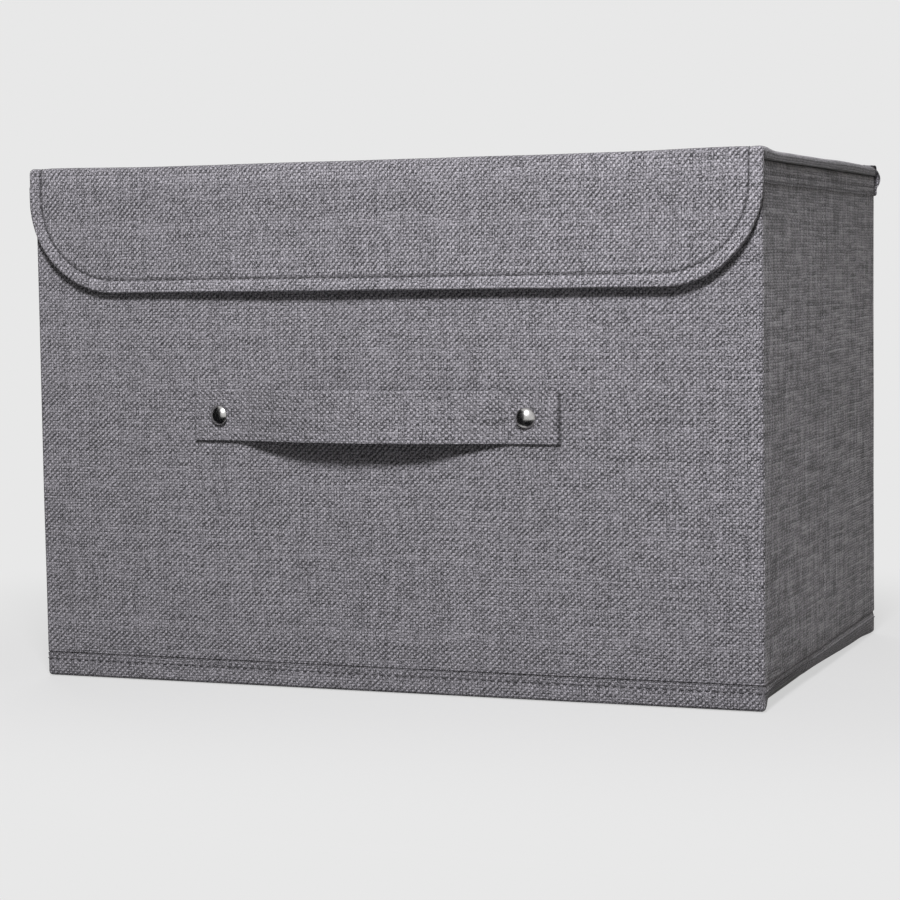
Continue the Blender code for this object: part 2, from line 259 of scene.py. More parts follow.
class Nodes:
    """Adds linked nodes to one shader tree. A value is a socket or a plain number."""

    def __init__(self, tree):
        self.tree = tree

    def feed(self, socket, value):
        if isinstance(value, bpy.types.NodeSocket):
            self.tree.links.new(value, socket)
        else:
            socket.default_value = value

    def add(self, kind, inputs=None, **choices):
        node = self.tree.nodes.new("ShaderNode" + kind)
        for name, value in choices.items():
            setattr(node, name, value)
        for name, value in (inputs or {}).items():
            self.feed(node.inputs[name], value)
        return node

    def math(self, operation, *values, clamp=False):
        node = self.add("Math", operation=operation, use_clamp=clamp)
        for socket, value in zip(node.inputs, values):
            self.feed(socket, value)
        return node.outputs[0]

    def plus(self, one, two, clamp=False):
        return self.math("ADD", one, two, clamp=clamp)

    def minus(self, one, two):
        return self.math("SUBTRACT", one, two)

    def times(self, one, two):
        return self.math("MULTIPLY", one, two)

    def scaled(self, value, factor, shift, clamp=False):
        return self.math("MULTIPLY_ADD", value, factor, shift, clamp=clamp)

    def vector_math(self, operation, one, two=(0, 0, 0), result="Vector"):
        return self.add("VectorMath", {0: one, 1: two}, operation=operation).outputs[result]

    def split(self, place):
        return self.add("SeparateXYZ", {"Vector": place}).outputs

    def combine(self, x, y, z=0.0):
        return self.add("CombineXYZ", {"X": x, "Y": y, "Z": z}).outputs[0]

    def noise(self, place, scale, detail=2.0):
        inputs = {"Vector": place, "Scale": scale, "Detail": detail}
        return self.add("TexNoise", inputs).outputs["Fac"]

    def ease(self, value, start, end, low=0.0, high=1.0):
        inputs = {"Value": value, "From Min": start, "From Max": end, "To Min": low, "To Max": high}
        return self.add("MapRange", inputs, interpolation_type="SMOOTHSTEP").outputs["Result"]

    def mix(self, share, one, two, blend="MIX"):
        node = self.add("Mix", data_type="RGBA", blend_type=blend)
        for index, value in ((0, share), (6, one), (7, two)):
            self.feed(node.inputs[index], value)
        return node.outputs[2]

    def shaded(self, tint, shade):
        """A colour made lighter or darker."""
        grey = self.add("CombineColor", {0: shade, 1: shade, 2: shade}).outputs[0]
        return self.mix(1.0, tint, grey, "MULTIPLY")

    def group(self, name, inputs):
        return self.add("Group", inputs, node_tree=bpy.data.node_groups[name]).outputs

    def two_shaders(self, share, one, two):
        node = self.add("MixShader")
        for socket, value in zip(node.inputs, (share, one.outputs[0], two.outputs[0])):
            self.feed(socket, value)
        return node.outputs[0]


def new_group(name, **inputs):
    """An empty shader group: its nodes, its inputs, and a function that feeds its three results."""
    group = bpy.data.node_groups.new(name, "ShaderNodeTree")

    def add_socket(label, kind, way):
        group.interface.new_socket(
            label.replace("_", " "), in_out=way, socket_type=f"NodeSocket{kind}"
        )

    for label, kind in {"Place": "Vector", **inputs}.items():
        add_socket(label, kind, "INPUT")
    for label, kind in {"Color": "Color", "Height": "Float", "Roughness": "Float"}.items():
        add_socket(label, kind, "OUTPUT")
    nodes = Nodes(group)
    given = group.nodes.new("NodeGroupInput").outputs
    results = group.nodes.new("NodeGroupOutput").inputs

    def give(*values):
        for socket, value in zip(results, values):
            nodes.feed(socket, value)

    return nodes, given, give


def build_weave_group():
    """Plain weave of melange yarns, from a place on the flat cloth. The third part of the place is
    the way to the cloth's edge; below zero it darkens the cloth, mostly as painted shade."""
    nodes, given, give = new_group(
        "melange_weave",
        Warp_Pitch="Float", Weft_Pitch="Float", Pale_Yarn="Color", Dark_Yarn="Color",
        Contrast="Float", Lean="Float", Slubs="Float",
    )
    flat = nodes.split(given["Place"])
    level = nodes.combine(flat["X"], flat["Y"])
    crossed = nodes.combine(flat["Y"], flat["X"], 4.0)

    def sway(where):
        """Yarns wander slowly, and wobble a little."""
        slow = nodes.scaled(nodes.noise(where, 38.0), 1.1, -0.55)
        return nodes.scaled(nodes.noise(where, 420.0, 1.0), 0.34, slow)

    def wave(operation, count):
        """A wave that is two yarns long."""
        return nodes.math(operation, nodes.times(count, math.pi))

    # Where a yarn is counted from the cloth's middle, and how round it is there
    x = nodes.plus(nodes.math("DIVIDE", flat["X"], given["Warp Pitch"]), sway(level))
    y = nodes.plus(nodes.math("DIVIDE", flat["Y"], given["Weft Pitch"]), sway(crossed))
    cross = nodes.times(*(nodes.math("ABSOLUTE", wave("SINE", count)) for count in (x, y)))

    # Slanted rows of knuckles, which lean one way or the other and drift between the two
    rising = wave("COSINE", nodes.minus(x, y))
    falling = wave("COSINE", nodes.minus(nodes.plus(x, y), 1.0))
    drift = nodes.scaled(nodes.noise(level, 11.0, 1.0), 0.9, -0.45)
    share = nodes.scaled(nodes.plus(given["Lean"], drift), 0.5, 0.5, clamp=True)
    tile = nodes.scaled(share, nodes.minus(rising, falling), falling)
    on_top = nodes.ease(tile, -0.25, 0.25)

    def along_yarn(count, along, spacing, layer, stretch, detail):
        """Noise that runs along each yarn, with a stretch of its own for each."""
        index = nodes.math("FLOOR", count)
        spot = nodes.combine(nodes.times(index, spacing), nodes.times(along, stretch), layer)
        return index, nodes.noise(spot, 1.0, detail)

    def yarn_tone(count, along, layer, stretch):
        """A yarn's own shade, with slubs that come and go along it."""
        index, slub = along_yarn(count, along, 13.7, layer, stretch, 3.0)
        own = nodes.add("TexWhiteNoise", {"W": nodes.plus(index, layer)}, noise_dimensions="1D")
        return nodes.scaled(own.outputs["Value"], 0.12, nodes.times(slub, 0.56))

    warp_tone = yarn_tone(x, y, 3.5, 0.20)
    weft_tone = yarn_tone(y, x, 9.25, 0.12)
    tone = nodes.scaled(on_top, nodes.minus(warp_tone, weft_tone), weft_tone)

    # Painted light and shade on the yarns' round form, a shade for each knuckle, and the tone of single
    # fibres and long slubs
    fibres = nodes.minus(nodes.noise(level, 1500.0, 3.0), 0.5)
    knuckle = nodes.combine(nodes.math("FLOOR", x), nodes.math("FLOOR", y), 0.5)
    own_light = nodes.add("TexWhiteNoise", {"Vector": knuckle}).outputs["Value"]
    painted_light_and_tone = nodes.scaled(tile, 0.27, nodes.times(cross, 0.34))
    painted_light_and_tone = nodes.plus(painted_light_and_tone, nodes.scaled(own_light, 0.20, -0.10))
    painted_light_and_tone = nodes.plus(painted_light_and_tone, nodes.scaled(fibres, 2.3, tone))
    long_slubs = [
        along_yarn(count, along, 7.9, layer, stretch, 2.0)[1]
        for count, along, layer, stretch in ((x, y, 2.5, 0.07), (y, x, 7.1, 0.045))
    ]
    painted_light_and_tone = nodes.scaled(nodes.minus(nodes.plus(*long_slubs), 1.0), given["Slubs"], painted_light_and_tone)
    spread = nodes.times(nodes.minus(painted_light_and_tone, 0.48), given["Contrast"])
    yarn_colour_and_light = nodes.mix(nodes.plus(spread, 0.385, clamp=True), given["Dark Yarn"], given["Pale Yarn"])

    blotch = nodes.scaled(nodes.noise(level, 14.0), 0.12, 0.94)
    # Just above zero the cloth is lighter: wear on the rims, and a painted highlight outside the
    # topstitching. Below zero it is darker, mostly as painted shade
    worn_and_highlight = nodes.ease(flat["Z"], 0.0, 0.0022, 1.14, 1.0)
    darkening = nodes.ease(flat["Z"], -1.0, 0.0, 0.38, 1.0)
    shade = nodes.times(nodes.times(darkening, blotch), worn_and_highlight)
    height = nodes.scaled(tile, 0.40, nodes.times(cross, 0.60))
    give(
        nodes.shaded(yarn_colour_and_light, shade),
        nodes.scaled(fibres, 0.25, height),
        nodes.ease(height, 0.0, 1.0, 0.98, 0.86),
    )


def build_lining_group():
    """Pressed non-woven: loose fibres, pinned together by a pattern of small square dots."""
    nodes, given, give = new_group("pressed_fibres", Tint="Color", Dot_Pitch="Float")
    flat = nodes.split(given["Place"])
    level = nodes.combine(flat["X"], flat["Y"])

    def pinch(operation):
        slant = nodes.math(operation, flat["X"], flat["Y"])
        turn = nodes.math("DIVIDE", nodes.times(slant, 2 * math.pi), given["Dot Pitch"])
        return nodes.math("COSINE", turn)

    dots = nodes.ease(nodes.times(pinch("ADD"), pinch("SUBTRACT")), 0.25, 0.60)
    web = nodes.plus(
        nodes.noise(nodes.combine(nodes.times(flat["X"], 0.3), flat["Y"]), 2600.0, 4.0),
        nodes.noise(nodes.combine(flat["X"], nodes.times(flat["Y"], 0.3)), 2600.0, 4.0),
    )
    clouds = nodes.scaled(nodes.noise(level, 90.0, 3.0), 0.30, 0.85)
    shade = nodes.times(nodes.ease(web, 0.7, 1.3, 0.80, 1.15), clouds)
    shade = nodes.times(shade, nodes.scaled(dots, -0.16, 1.0))
    give(
        nodes.shaded(given["Tint"], shade),
        nodes.scaled(dots, -1.0, web),
        nodes.scaled(dots, -0.18, 0.93),
    )


def build_board_group():
    """Grey-brown pulp board: short fibres, dark specks and a soft mottle."""
    nodes, given, give = new_group("pulp_board", Tint="Color")
    mottle = nodes.noise(given["Place"], 60.0, 4.0)
    fibres = nodes.noise(given["Place"], 1100.0, 5.0)
    specks = nodes.ease(nodes.noise(given["Place"], 700.0, 2.0), 0.66, 0.74)
    shade = nodes.times(
        nodes.ease(mottle, 0.2, 0.8, 0.86, 1.12), nodes.ease(fibres, 0.2, 0.8, 0.82, 1.16)
    )
    shade = nodes.times(shade, nodes.scaled(specks, -0.45, 1.0))
    give(nodes.shaded(given["Tint"], shade), fibres, nodes.ease(fibres, 0.2, 0.8, 0.96, 0.84))


def build_polish_group():
    """Polished plate with fine turning marks and a few finger smears."""
    nodes, given, give = new_group("polished_plate", Tint="Color")
    smears = nodes.noise(given["Place"], 500.0, 3.0)
    marks = nodes.noise(given["Place"], 9000.0, 2.0)
    shade = nodes.ease(smears, 0.3, 0.8, 1.04, 0.90)
    give(nodes.shaded(given["Tint"], shade), marks, nodes.ease(smears, 0.3, 0.8, 0.20, 0.32))


def build_twist_group():
    """Sewing thread: two plies wound round each other, along the first part of the place."""
    nodes, given, give = new_group("twisted_thread", Tint="Color")
    flat = nodes.split(given["Place"])
    turn = nodes.scaled(flat["X"], 5200.0, nodes.times(flat["Y"], 4000.0))
    ply = nodes.math("ABSOLUTE", nodes.math("SINE", turn))
    # The thread is painted darker between its plies, as shade in the grooves, and lighter on their
    # crowns
    shade = nodes.scaled(ply, 0.45, 0.70)
    give(nodes.shaded(given["Tint"], shade), ply, nodes.scaled(ply, -0.15, 0.75))


def plain_material(name):
    """A new material's nodes and its shader."""
    material = bpy.data.materials.new(name)
    material.use_nodes = True
    return Nodes(material.node_tree), material.node_tree.nodes["Principled BSDF"]


def new_material(name, group, inputs, bump, on_cloth=True, **shader_values):
    """A material whose colour, roughness and bump come from one of the groups. Its pattern lies on
    the flat cloth, or else in the solid."""
    nodes, shader = plain_material(name)
    if on_cloth:
        place = nodes.add("Attribute", attribute_name="weave").outputs["Vector"]
    else:
        place = nodes.add("TexCoord").outputs["Object"]
    inputs = {
        label: value(nodes, place) if callable(value) else value for label, value in inputs.items()
    }
    made = nodes.group(group, {"Place": place, **inputs})
    relief = nodes.add("Bump", {"Height": made["Height"], "Distance": bump, "Strength": 1.0})
    nodes.feed(shader.inputs["Base Color"], made["Color"])
    nodes.feed(shader.inputs["Roughness"], made["Roughness"])
    nodes.feed(shader.inputs["Normal"], relief.outputs["Normal"])
    for socket, value in shader_values.items():
        shader.inputs[socket.replace("_", " ")].default_value = value


def on_sides(front, side):
    """A value that is the front's and the rear's on those walls, and the side's past each corner."""
    ease_in = 0.003

    def value(nodes, place):
        along = nodes.math("ABSOLUTE", nodes.split(place)["X"])
        begun, ended = (
            nodes.ease(along, corner - ease_in, corner + ease_in)
            for corner in (round_to_side(-half_depth), round_to_rear(half_width))
        )
        return nodes.scaled(nodes.minus(begun, ended), side - front, front)

    return value


def tinted(rgb, factor=1.0):
    return (*(part * factor for part in rgb), 1.0)


def build_materials():
    cloth, _, _, fittings = settings()
    yarns = {"Dark Yarn": tinted(cloth.dark_yarn), "Pale Yarn": tinted(cloth.pale_yarn)}
    fuzz = {"Sheen_Weight": 0.12, "Sheen_Roughness": 0.6, "Specular_IOR_Level": 0.2}
    upright = {"Warp Pitch": cloth.warp_pitch, "Weft Pitch": cloth.weft_pitch}
    turned = {"Warp Pitch": cloth.weft_pitch, "Weft Pitch": cloth.warp_pitch}
    leans = on_sides(0.52, 0.30), on_sides(0.15, 0.95), on_sides(1.08, 1.45)
    for name, (lean, slubs, contrast), pitches in (
        ("wall_cloth", leans, upright),
        ("foot_cloth", (-0.40, 0.15, 1.08), upright),
        ("lid_cloth", (-0.50, 0.15, 1.08), turned),
        ("strap_cloth", (0.15, 0.25, 1.08), upright),
    ):
        own = {"Lean": lean, "Slubs": slubs, "Contrast": contrast}
        new_material(name, "melange_weave", {**yarns, **pitches, **own}, 0.00028, **fuzz)
    felt = {"Tint": tinted(fittings.lining), "Dot Pitch": 0.0021}
    new_material("lining_felt", "pressed_fibres", felt, 0.00012, Specular_IOR_Level=0.25)
    pulp = {"Tint": tinted(fittings.board)}
    new_material("pulp_board", "pulp_board", pulp, 0.00008, on_cloth=False)
    new_material("sewing_thread", "twisted_thread", {"Tint": tinted(cloth.thread)}, 0.00008)
    plate = {"Tint": tinted(fittings.nickel)}
    new_material("nickel_plate", "polished_plate", plate, 0.000003, on_cloth=False, Metallic=1.0)


# Mesh building

Rim = namedtuple("Rim", "path outer inner")


def turned_rim(radius, thickness, depth, steps=4, rows=3):
    """The edge of a cloth that turns in over a board: a round, then straight down, then the cut.
    For each line it gives the length of cloth, and (outwards, inwards) of both faces."""
    path, outer, inner = [0.0], [(0.0, 0.0)], [(0.0, thickness)]
    inside = radius - thickness
    for step in range(1, steps + 1):
        angle = math.pi / 2 * step / steps
        path.append(radius * angle)
        outer.append((radius * math.sin(angle), radius * (1 - math.cos(angle))))
        inner.append((inside * math.sin(angle), thickness + inside * (1 - math.cos(angle))))
    straight = depth - radius
    for row in range(1, rows + 1):
        path.append(path[steps] + straight * row / rows)
        outer.append((radius, radius + straight * row / rows))
        inner.append((inside, radius + straight * row / rows))
    lip = thickness * 0.25
    path.append(path[-1] + lip)
    outer[-1] = (radius, depth - lip)
    inner[-1] = (inside, depth - lip)
    outer.append((radius - lip, depth))
    inner.append((inside + lip, depth))
    return Rim(path, outer, inner)


def full_rim(thickness, reach=None, steps=4):
    """The rounded edge of a piece that is solid right through. It stops short of a knife edge."""
    path, outer, inner = [0.0], [(0.0, 0.0)], [(0.0, thickness)]
    for step in range(1, steps + 1):
        angle = math.radians(84) * step / steps
        path.append(thickness / 2 * angle)
        out = (reach or thickness / 2) * math.sin(angle)
        drop = thickness / 2 * (1 - math.cos(angle))
        outer.append((out, drop))
        inner.append((out, thickness - drop))
    return Rim(path, outer, inner)


def rim_width(rim):
    return max(out for out, _ in rim.outer)


GROOVE_LINES = (-0.0013, -0.0007, -0.0003, 0.0, 0.0003, 0.0007, 0.0013)


def lines_between(start, end, step, marks=()):
    """Even lines from start to end, with closer ones about each mark."""
    close = (mark + shift for mark in marks for shift in GROOVE_LINES)
    fine = sorted(x for x in close if start < x < end)
    count = max(1, round((end - start) / step))
    even = [start + (end - start) * i / count for i in range(1, count)]
    clear = [x for x in even if all(abs(x - f) > step / 4 for f in fine)]
    return [start, *sorted(clear + fine), end]


def grid_lines(start, end, step, rim=None, corner=0.0, rims=(True, True), marks=(), insets=()):
    """The lines of one direction of a panel. Each is (flat place, reach past the last corner's
    centre, which way, line of the rim)."""
    width = rim_width(rim) if rim else 0.0
    inner_start = start + (width + corner) * rims[0]
    inner_end = end - (width + corner) * rims[1]
    flat = [(x, 0.0, 0, 0) for x in lines_between(inner_start, inner_end, step, marks)]
    reaches = []
    if corner:
        rings = [corner + width - inset for inset in insets]
        reaches += [(reach, 0) for reach in lines_between(0.0, corner, step, rings)[1:]]
    if rim:
        reaches += [(corner + path, line) for line, path in enumerate(rim.path) if line]
    before = [(inner_start, reach, -1, line) for reach, line in reversed(reaches)]
    after = [(inner_end, reach, 1, line) for reach, line in reaches]
    return before * rims[0] + flat + after * rims[1]


class Draft:
    """A mesh in the making: points with their place on the flat cloth, and faces with a slot."""

    def __init__(self):
        self.points = []
        self.flat = []
        self.faces = []
        self.slots = []

    def add(self, points, flat, faces, slot):
        first = len(self.points)
        self.points += points
        self.flat += flat
        self.faces += [tuple(first + i for i in face) for face in faces]
        self.slots += [slot] * len(faces)

    def build(self, name, *materials):
        mesh = bpy.data.meshes.new(name)
        mesh.from_pydata(self.points, [], self.faces)
        for material in materials:
            mesh.materials.append(bpy.data.materials[material])
        mesh.polygons.foreach_set("material_index", self.slots)
        place = mesh.attributes.new("weave", "FLOAT_VECTOR", "POINT")
        place.data.foreach_set("vector", [part for spot in self.flat for part in spot])
        bm = bmesh.new()
        bm.from_mesh(mesh)
        bmesh.ops.recalc_face_normals(bm, faces=bm.faces)
        bm.to_mesh(mesh)
        bm.free()
        mesh.shade_smooth()
        mesh.set_sharp_from_angle(angle=math.radians(42))
        return add_object(name, mesh)


def meet(one, two):
    """The reach, direction and rim line where two lines of a panel cross."""
    (_, reach_u, way_u, line_u), (_, reach_v, way_v, line_v) = one, two
    reach = max(reach_u, reach_v)
    if not reach_u or not reach_v:
        return reach, (way_u if reach_u else 0, way_v if reach_v else 0), max(line_u, line_v)
    lean = math.pi / 4 * min(reach_u, reach_v) / reach
    angle = lean if reach_u >= reach_v else math.pi / 2 - lean
    line = line_u if reach_u >= reach_v else line_v
    return reach, (way_u * math.cos(angle), way_v * math.sin(angle)), line


def add_panel(draft, across, along, rim, place, corner=0.0, swell=None):
    """A closed panel on a grid of lines: an outer face, an inner face and the strip that joins them.
    place(u, v, depth) puts a point of the flat panel into the frame. Gives the cloth's flat size."""
    last = len(rim.path) - 1
    edge_at = corner + rim.path[-1]
    points, flat = [], []
    for side, profile in enumerate((rim.outer, rim.inner)):
        for one in across:
            for two in along:
                reach, (du, dv), line = meet(one, two)
                out, depth = profile[line]
                run = min(reach, corner) + out
                u, v = one[0] + du * run, two[0] + dv * run
                if swell and not side:
                    depth -= swell(u, v) * (1 - line / last)
                points.append(place(u, v, depth))
                edge = edge_at - reach if reach else 1.0
                flat.append((one[0] + du * reach, two[0] + dv * reach, edge))
    columns, rows = len(across), len(along)
    back = columns * rows
    faces = []
    for i in range(columns - 1):
        for j in range(rows - 1):
            a = i * rows + j
            faces.append((a, a + 1, a + rows + 1, a + rows))
            faces.append((back + a, back + a + rows, back + a + rows + 1, back + a + 1))
    ring = [i * rows for i in range(columns)]
    ring += [(columns - 1) * rows + j for j in range(1, rows)]
    ring += [i * rows + rows - 1 for i in range(columns - 2, -1, -1)]
    ring += [j for j in range(rows - 2, 0, -1)]
    for a, b in zip(ring, ring[1:] + ring[:1]):
        faces.append((a, b, back + b, back + a))
    draft.add(points, flat, faces, 0)
    return tuple(
        lines[-1][0] + lines[-1][1] - lines[0][0] + lines[0][1] for lines in (across, along)
    )


def add_patch(draft, across, along, steps, rim, place, corner=0.0, swell=None):
    """A panel over two spans, with the same rim all round."""
    lines = [grid_lines(*span, step, rim, corner) for span, step in zip((across, along), steps)]
    return add_panel(draft, *lines, rim, place, corner, swell)


# Rings of one stitch: (place along it, girth, height), as shares of its length and its thread
STITCH_RINGS = (
    (-0.5, 0.15, -0.9), (-0.42, 0.75, -0.25), (-0.2, 1.0, 0.35), (0.0, 1.05, 0.5),
    (0.2, 1.0, 0.35), (0.42, 0.75, -0.25), (0.5, 0.15, -0.9),
)
STITCH_SIDES = 6
NEARBY = 0.001


def add_stitches(draft, run, place, swell=None):
    """Stitches along a line of (u, v) points. Each is a length of thread that dips into the cloth
    at its ends."""
    cloth = settings()[0]
    length, step = cloth.stitch_length, cloth.stitch_length + cloth.stitch_gap
    lengths = [math.dist(a, b) for a, b in zip(run, run[1:])]
    total = sum(lengths)
    count = max(1, int(total / step))
    last = (len(STITCH_RINGS) - 1) * STITCH_SIDES
    faces = []
    for ring in range(0, last, STITCH_SIDES):
        for corner in range(STITCH_SIDES):
            a, b = ring + corner, ring + (corner + 1) % STITCH_SIDES
            faces.append((a, b, b + STITCH_SIDES, a + STITCH_SIDES))
    faces.append(tuple(range(STITCH_SIDES)))
    faces.append(tuple(reversed(range(last, last + STITCH_SIDES))))
    for index in range(count):
        centre, way = point_on(run, lengths, (index + 0.5) * total / count)
        sideways = (-way[1] * NEARBY, way[0] * NEARBY)
        points, flat = [], []
        for share, girth, rise in STITCH_RINGS:
            u = centre[0] + way[0] * share * length
            v = centre[1] + way[1] * share * length
            lift = (swell(u, v) if swell else 0.0) + rise * cloth.thread_radius
            spot = Vector(place(u, v, -lift))
            up = (Vector(place(u, v, -lift - NEARBY)) - spot).normalized()
            side = (Vector(place(u + sideways[0], v + sideways[1], -lift)) - spot).normalized()
            radius = cloth.thread_radius * girth
            for corner in range(STITCH_SIDES):
                angle = 2 * math.pi * corner / STITCH_SIDES
                points.append(tuple(spot + (side * math.cos(angle) + up * math.sin(angle)) * radius))
                flat.append((index * step + share * length, radius * angle, 1.0))
        draft.add(points, flat, faces, 1)


def point_on(run, lengths, distance):
    """The point a distance along a line of points, and the line's direction there."""
    for (a, b), length in zip(zip(run, run[1:]), lengths):
        if distance <= length or (a, b) == (run[-2], run[-1]):
            share = distance / length
            way = ((b[0] - a[0]) / length, (b[1] - a[1]) / length)
            return (a[0] + (b[0] - a[0]) * share, a[1] + (b[1] - a[1]) * share), way
        distance -= length
    raise ValueError("the line of stitches has no length")


def box_run(start, end, inset):
    """A line round a rectangle, an inset inside its edge."""
    left, near = start[0] + inset, start[1] + inset
    right, far = end[0] - inset, end[1] - inset
    return [(left, near), (right, near), (right, far), (left, far), (left, near)]


def dress(draft, name, material, body, node):
    """Builds a piece that rides on a body and takes the place of a node."""
    obj = draft.build(name, material, "sewing_thread")
    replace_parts(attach(obj, body), node)
    return obj


def held_sheet(cut):
    """Unpacks the width and length that a stretched cloth was cut to, and does nothing more."""
    width, length = cut


# Walls


def outline(p):
    """A place on the box's outline and its outward direction, p metres to the right of the front's
    middle."""
    radius = bpy.context.scene.box_walls.corner_radius
    if p < 0:
        x, y, out_x, out_y = outline(-p)
        return -x, y, -out_x, out_y
    wide, deep, bend = half_width - radius, half_depth - radius, quarter(radius)
    if p < wide:
        return p, -half_depth, 0.0, -1.0
    p -= wide
    if p < bend:
        out_x, out_y = math.sin(p / radius), -math.cos(p / radius)
        return wide + radius * out_x, -deep + radius * out_y, out_x, out_y
    p -= bend
    if p < 2 * deep:
        return half_width, p - deep, 1.0, 0.0
    p -= 2 * deep
    if p < bend:
        out_x, out_y = math.cos(p / radius), math.sin(p / radius)
        return wide + radius * out_x, deep + radius * out_y, out_x, out_y
    p -= bend
    if p < 2 * wide:
        return wide - p, half_depth, 0.0, 1.0
    p -= 2 * wide
    if p < bend:
        out_x, out_y = -math.sin(p / radius), math.cos(p / radius)
        return -wide + radius * out_x, deep + radius * out_y, out_x, out_y
    return -half_width, deep - (p - bend), -1.0, 0.0


def round_to_side(y):
    """How far round the right side's place y is."""
    radius = bpy.context.scene.box_walls.corner_radius
    return half_width - radius + quarter(radius) + y + half_depth - radius


def round_to_rear(x):
    """How far round the rear's place x is, going by the right side."""
    radius = bpy.context.scene.box_walls.corner_radius
    return round_to_side(half_depth - radius) + quarter(radius) + half_width - radius - x


def on_side(p):
    """Whether a place round the outline is on the right or the left side."""
    return abs(outline(p)[2]) > 0.9


def mirrored(span, sign):
    """A stretch round the outline on the right, or its like on the left."""
    return span if sign > 0 else (-span[1], -span[0])


def corner_marks(start, sign=1):
    """Lines for the round of an upright corner that begins here."""
    bend = quarter(bpy.context.scene.box_walls.corner_radius)
    return [sign * (start + bend * share) for share in (0.0, 0.5, 1.0)]


def wall_place(p, z, depth):
    x, y, out_x, out_y = outline(p)
    return x - out_x * depth, y - out_y * depth, z


# Small forms of a wall's cloth: (height or depth, width)
HEM_STEP = 0.0003
ROW_GROOVE = (0.00022, 0.0005)
HEM_PUCKER = (0.00016, 0.009)
FOOT_PUCKER = (0.00018, 0.006)
CREASE_WIDTH = 0.0016
STRAP_MARGIN = Vector((0.004, 0.0, 0.002))
# The side's cloth is painted darker upwards, as shade under the lid's overhang, from the first distance
# below its top edge to the second
UNDER_LID_SHADE_REACH = (0.060, 0.006)
UNDER_LID_SHADE = -0.30


def wall_swell(p, z):
    """How far the wall's cloth stands proud, with its hem, stitch grooves, puckers and creases."""
    cloth, walls, _, _ = settings()
    lift = cloth.swell * (ripple(p, z, 7, 9, 3.1) + 0.4 * ripple(p, z, 26, 22, 7.7))
    hem_low = wall_high - walls.hem_height
    lift += walls.hem_proud * smooth(z, hem_low - HEM_STEP, hem_low + HEM_STEP)
    for row in (walls.upper_row, walls.lower_row):
        lift -= ROW_GROOVE[0] * dip(z - (wall_high - row), ROW_GROOVE[1])
    pucker = ripple(p, z, 120, 30, 1.7)
    lift += HEM_PUCKER[0] * pucker * dip(z - hem_low, HEM_PUCKER[1])
    lift += FOOT_PUCKER[0] * pucker * dip(z - wall_low, FOOT_PUCKER[1])
    crease = abs(p) - round_to_side(hinge("right_crease").y)
    lift -= walls.crease_depth * dip(crease, CREASE_WIDTH)
    x, _, _, out_y = outline(p)
    if out_y < -0.9:
        near = abs(z - strap_middle.z) < strap_size.z / 2 + STRAP_MARGIN.z
        held = abs(x - strap_middle.x) < strap_size.x / 2 + STRAP_MARGIN.x
        lift -= max(lift, 0.0) * (near and held)
    return lift


def wall_cloth(start, end, marks=()):
    """A stretch of wall cloth from one place round the outline to another, with its stitches."""
    cloth, walls, _, _ = settings()
    rim = turned_rim(walls.edge_radius, cloth.thickness, wall_stack)
    rows = [wall_high - row for row in (walls.upper_row, walls.lower_row, walls.hem_height)]
    up = grid_lines(wall_low, wall_high, cloth.mesh_step, rim, marks=rows)
    round_ = grid_lines(start, end, cloth.mesh_step, marks=marks)
    draft = Draft()
    cut = add_panel(draft, round_, up, rim, wall_place, swell=wall_swell)
    darkening_at = [wall_high - reach for reach in UNDER_LID_SHADE_REACH]
    # Painted shade on the sides, darkest just under the lid
    draft.flat = [
        (p, z, UNDER_LID_SHADE * smooth(z, *darkening_at) if edge == 1.0 and on_side(p) else edge)
        for p, z, edge in draft.flat
    ]
    for row in rows[:2]:
        add_stitches(draft, [(start, row), (end, row)], wall_place, wall_swell)
    return draft, cut


def bent_cloth(name, span, marks):
    """A stretch of wall cloth between two bodies, from first to last."""
    draft, cut = wall_cloth(*span, marks)
    obj = draft.build(name, "wall_cloth", "sewing_thread")
    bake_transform(obj)
    held_sheet(cut)


def build_walls():
    walls = bpy.context.scene.box_walls
    radius = walls.corner_radius
    flat_x = half_width - walls.wrap
    pivot_y = hinge("front_corner_fold").y
    front_y, rear_y = pivot_y + walls.wrap, hinge("wall_fold").y - walls.wrap
    crease_y = hinge("right_crease").y
    before, after = crease_y - walls.crease_reach, crease_y + walls.crease_reach
    front_corner = half_width - radius
    rear_corner = round_to_side(half_depth - radius)
    rear_flat = round_to_rear(flat_x)
    left_return = -round_to_side(high("front_cover").y)

    def side_span(first_y, last_y, sign=1):
        return mirrored((round_to_side(first_y), round_to_side(last_y)), sign)

    for name, body, span, marks in (
        ("front", "front_wall", (left_return, flat_x), corner_marks(front_corner, -1)),
        ("right_front", "right_front", side_span(front_y, before), ()),
        ("right_rear", "right_rear", side_span(after, rear_y), ()),
        ("left_front", "left_front", side_span(pivot_y, before, -1), ()),
        ("left_rear", "left_rear", side_span(after, rear_y, -1), ()),
        ("rear", "rear_wall", (rear_flat, round_to_rear(-flat_x)), ()),
    ):
        draft, cut = wall_cloth(*span, marks)
        if name == "left_front":
            add_knuckle(draft)
        obj = dress(draft, f"{name}_cloth", "wall_cloth", body, f"{name}_cover")
        held_sheet(cut)
    bent_cloth(
        "right_front_corner_cloth",
        (flat_x, round_to_side(front_y)), corner_marks(front_corner),
    )
    for side, sign in SIDES:
        bent_cloth(
            f"{side}_crease_cloth",
            side_span(before, after, sign), [sign * round_to_side(crease_y)],
        )
    for side, sign in SIDES:
        bent_cloth(
            f"{side}_rear_corner_cloth",
            mirrored((round_to_side(rear_y), rear_flat), sign), corner_marks(rear_corner, sign),
        )


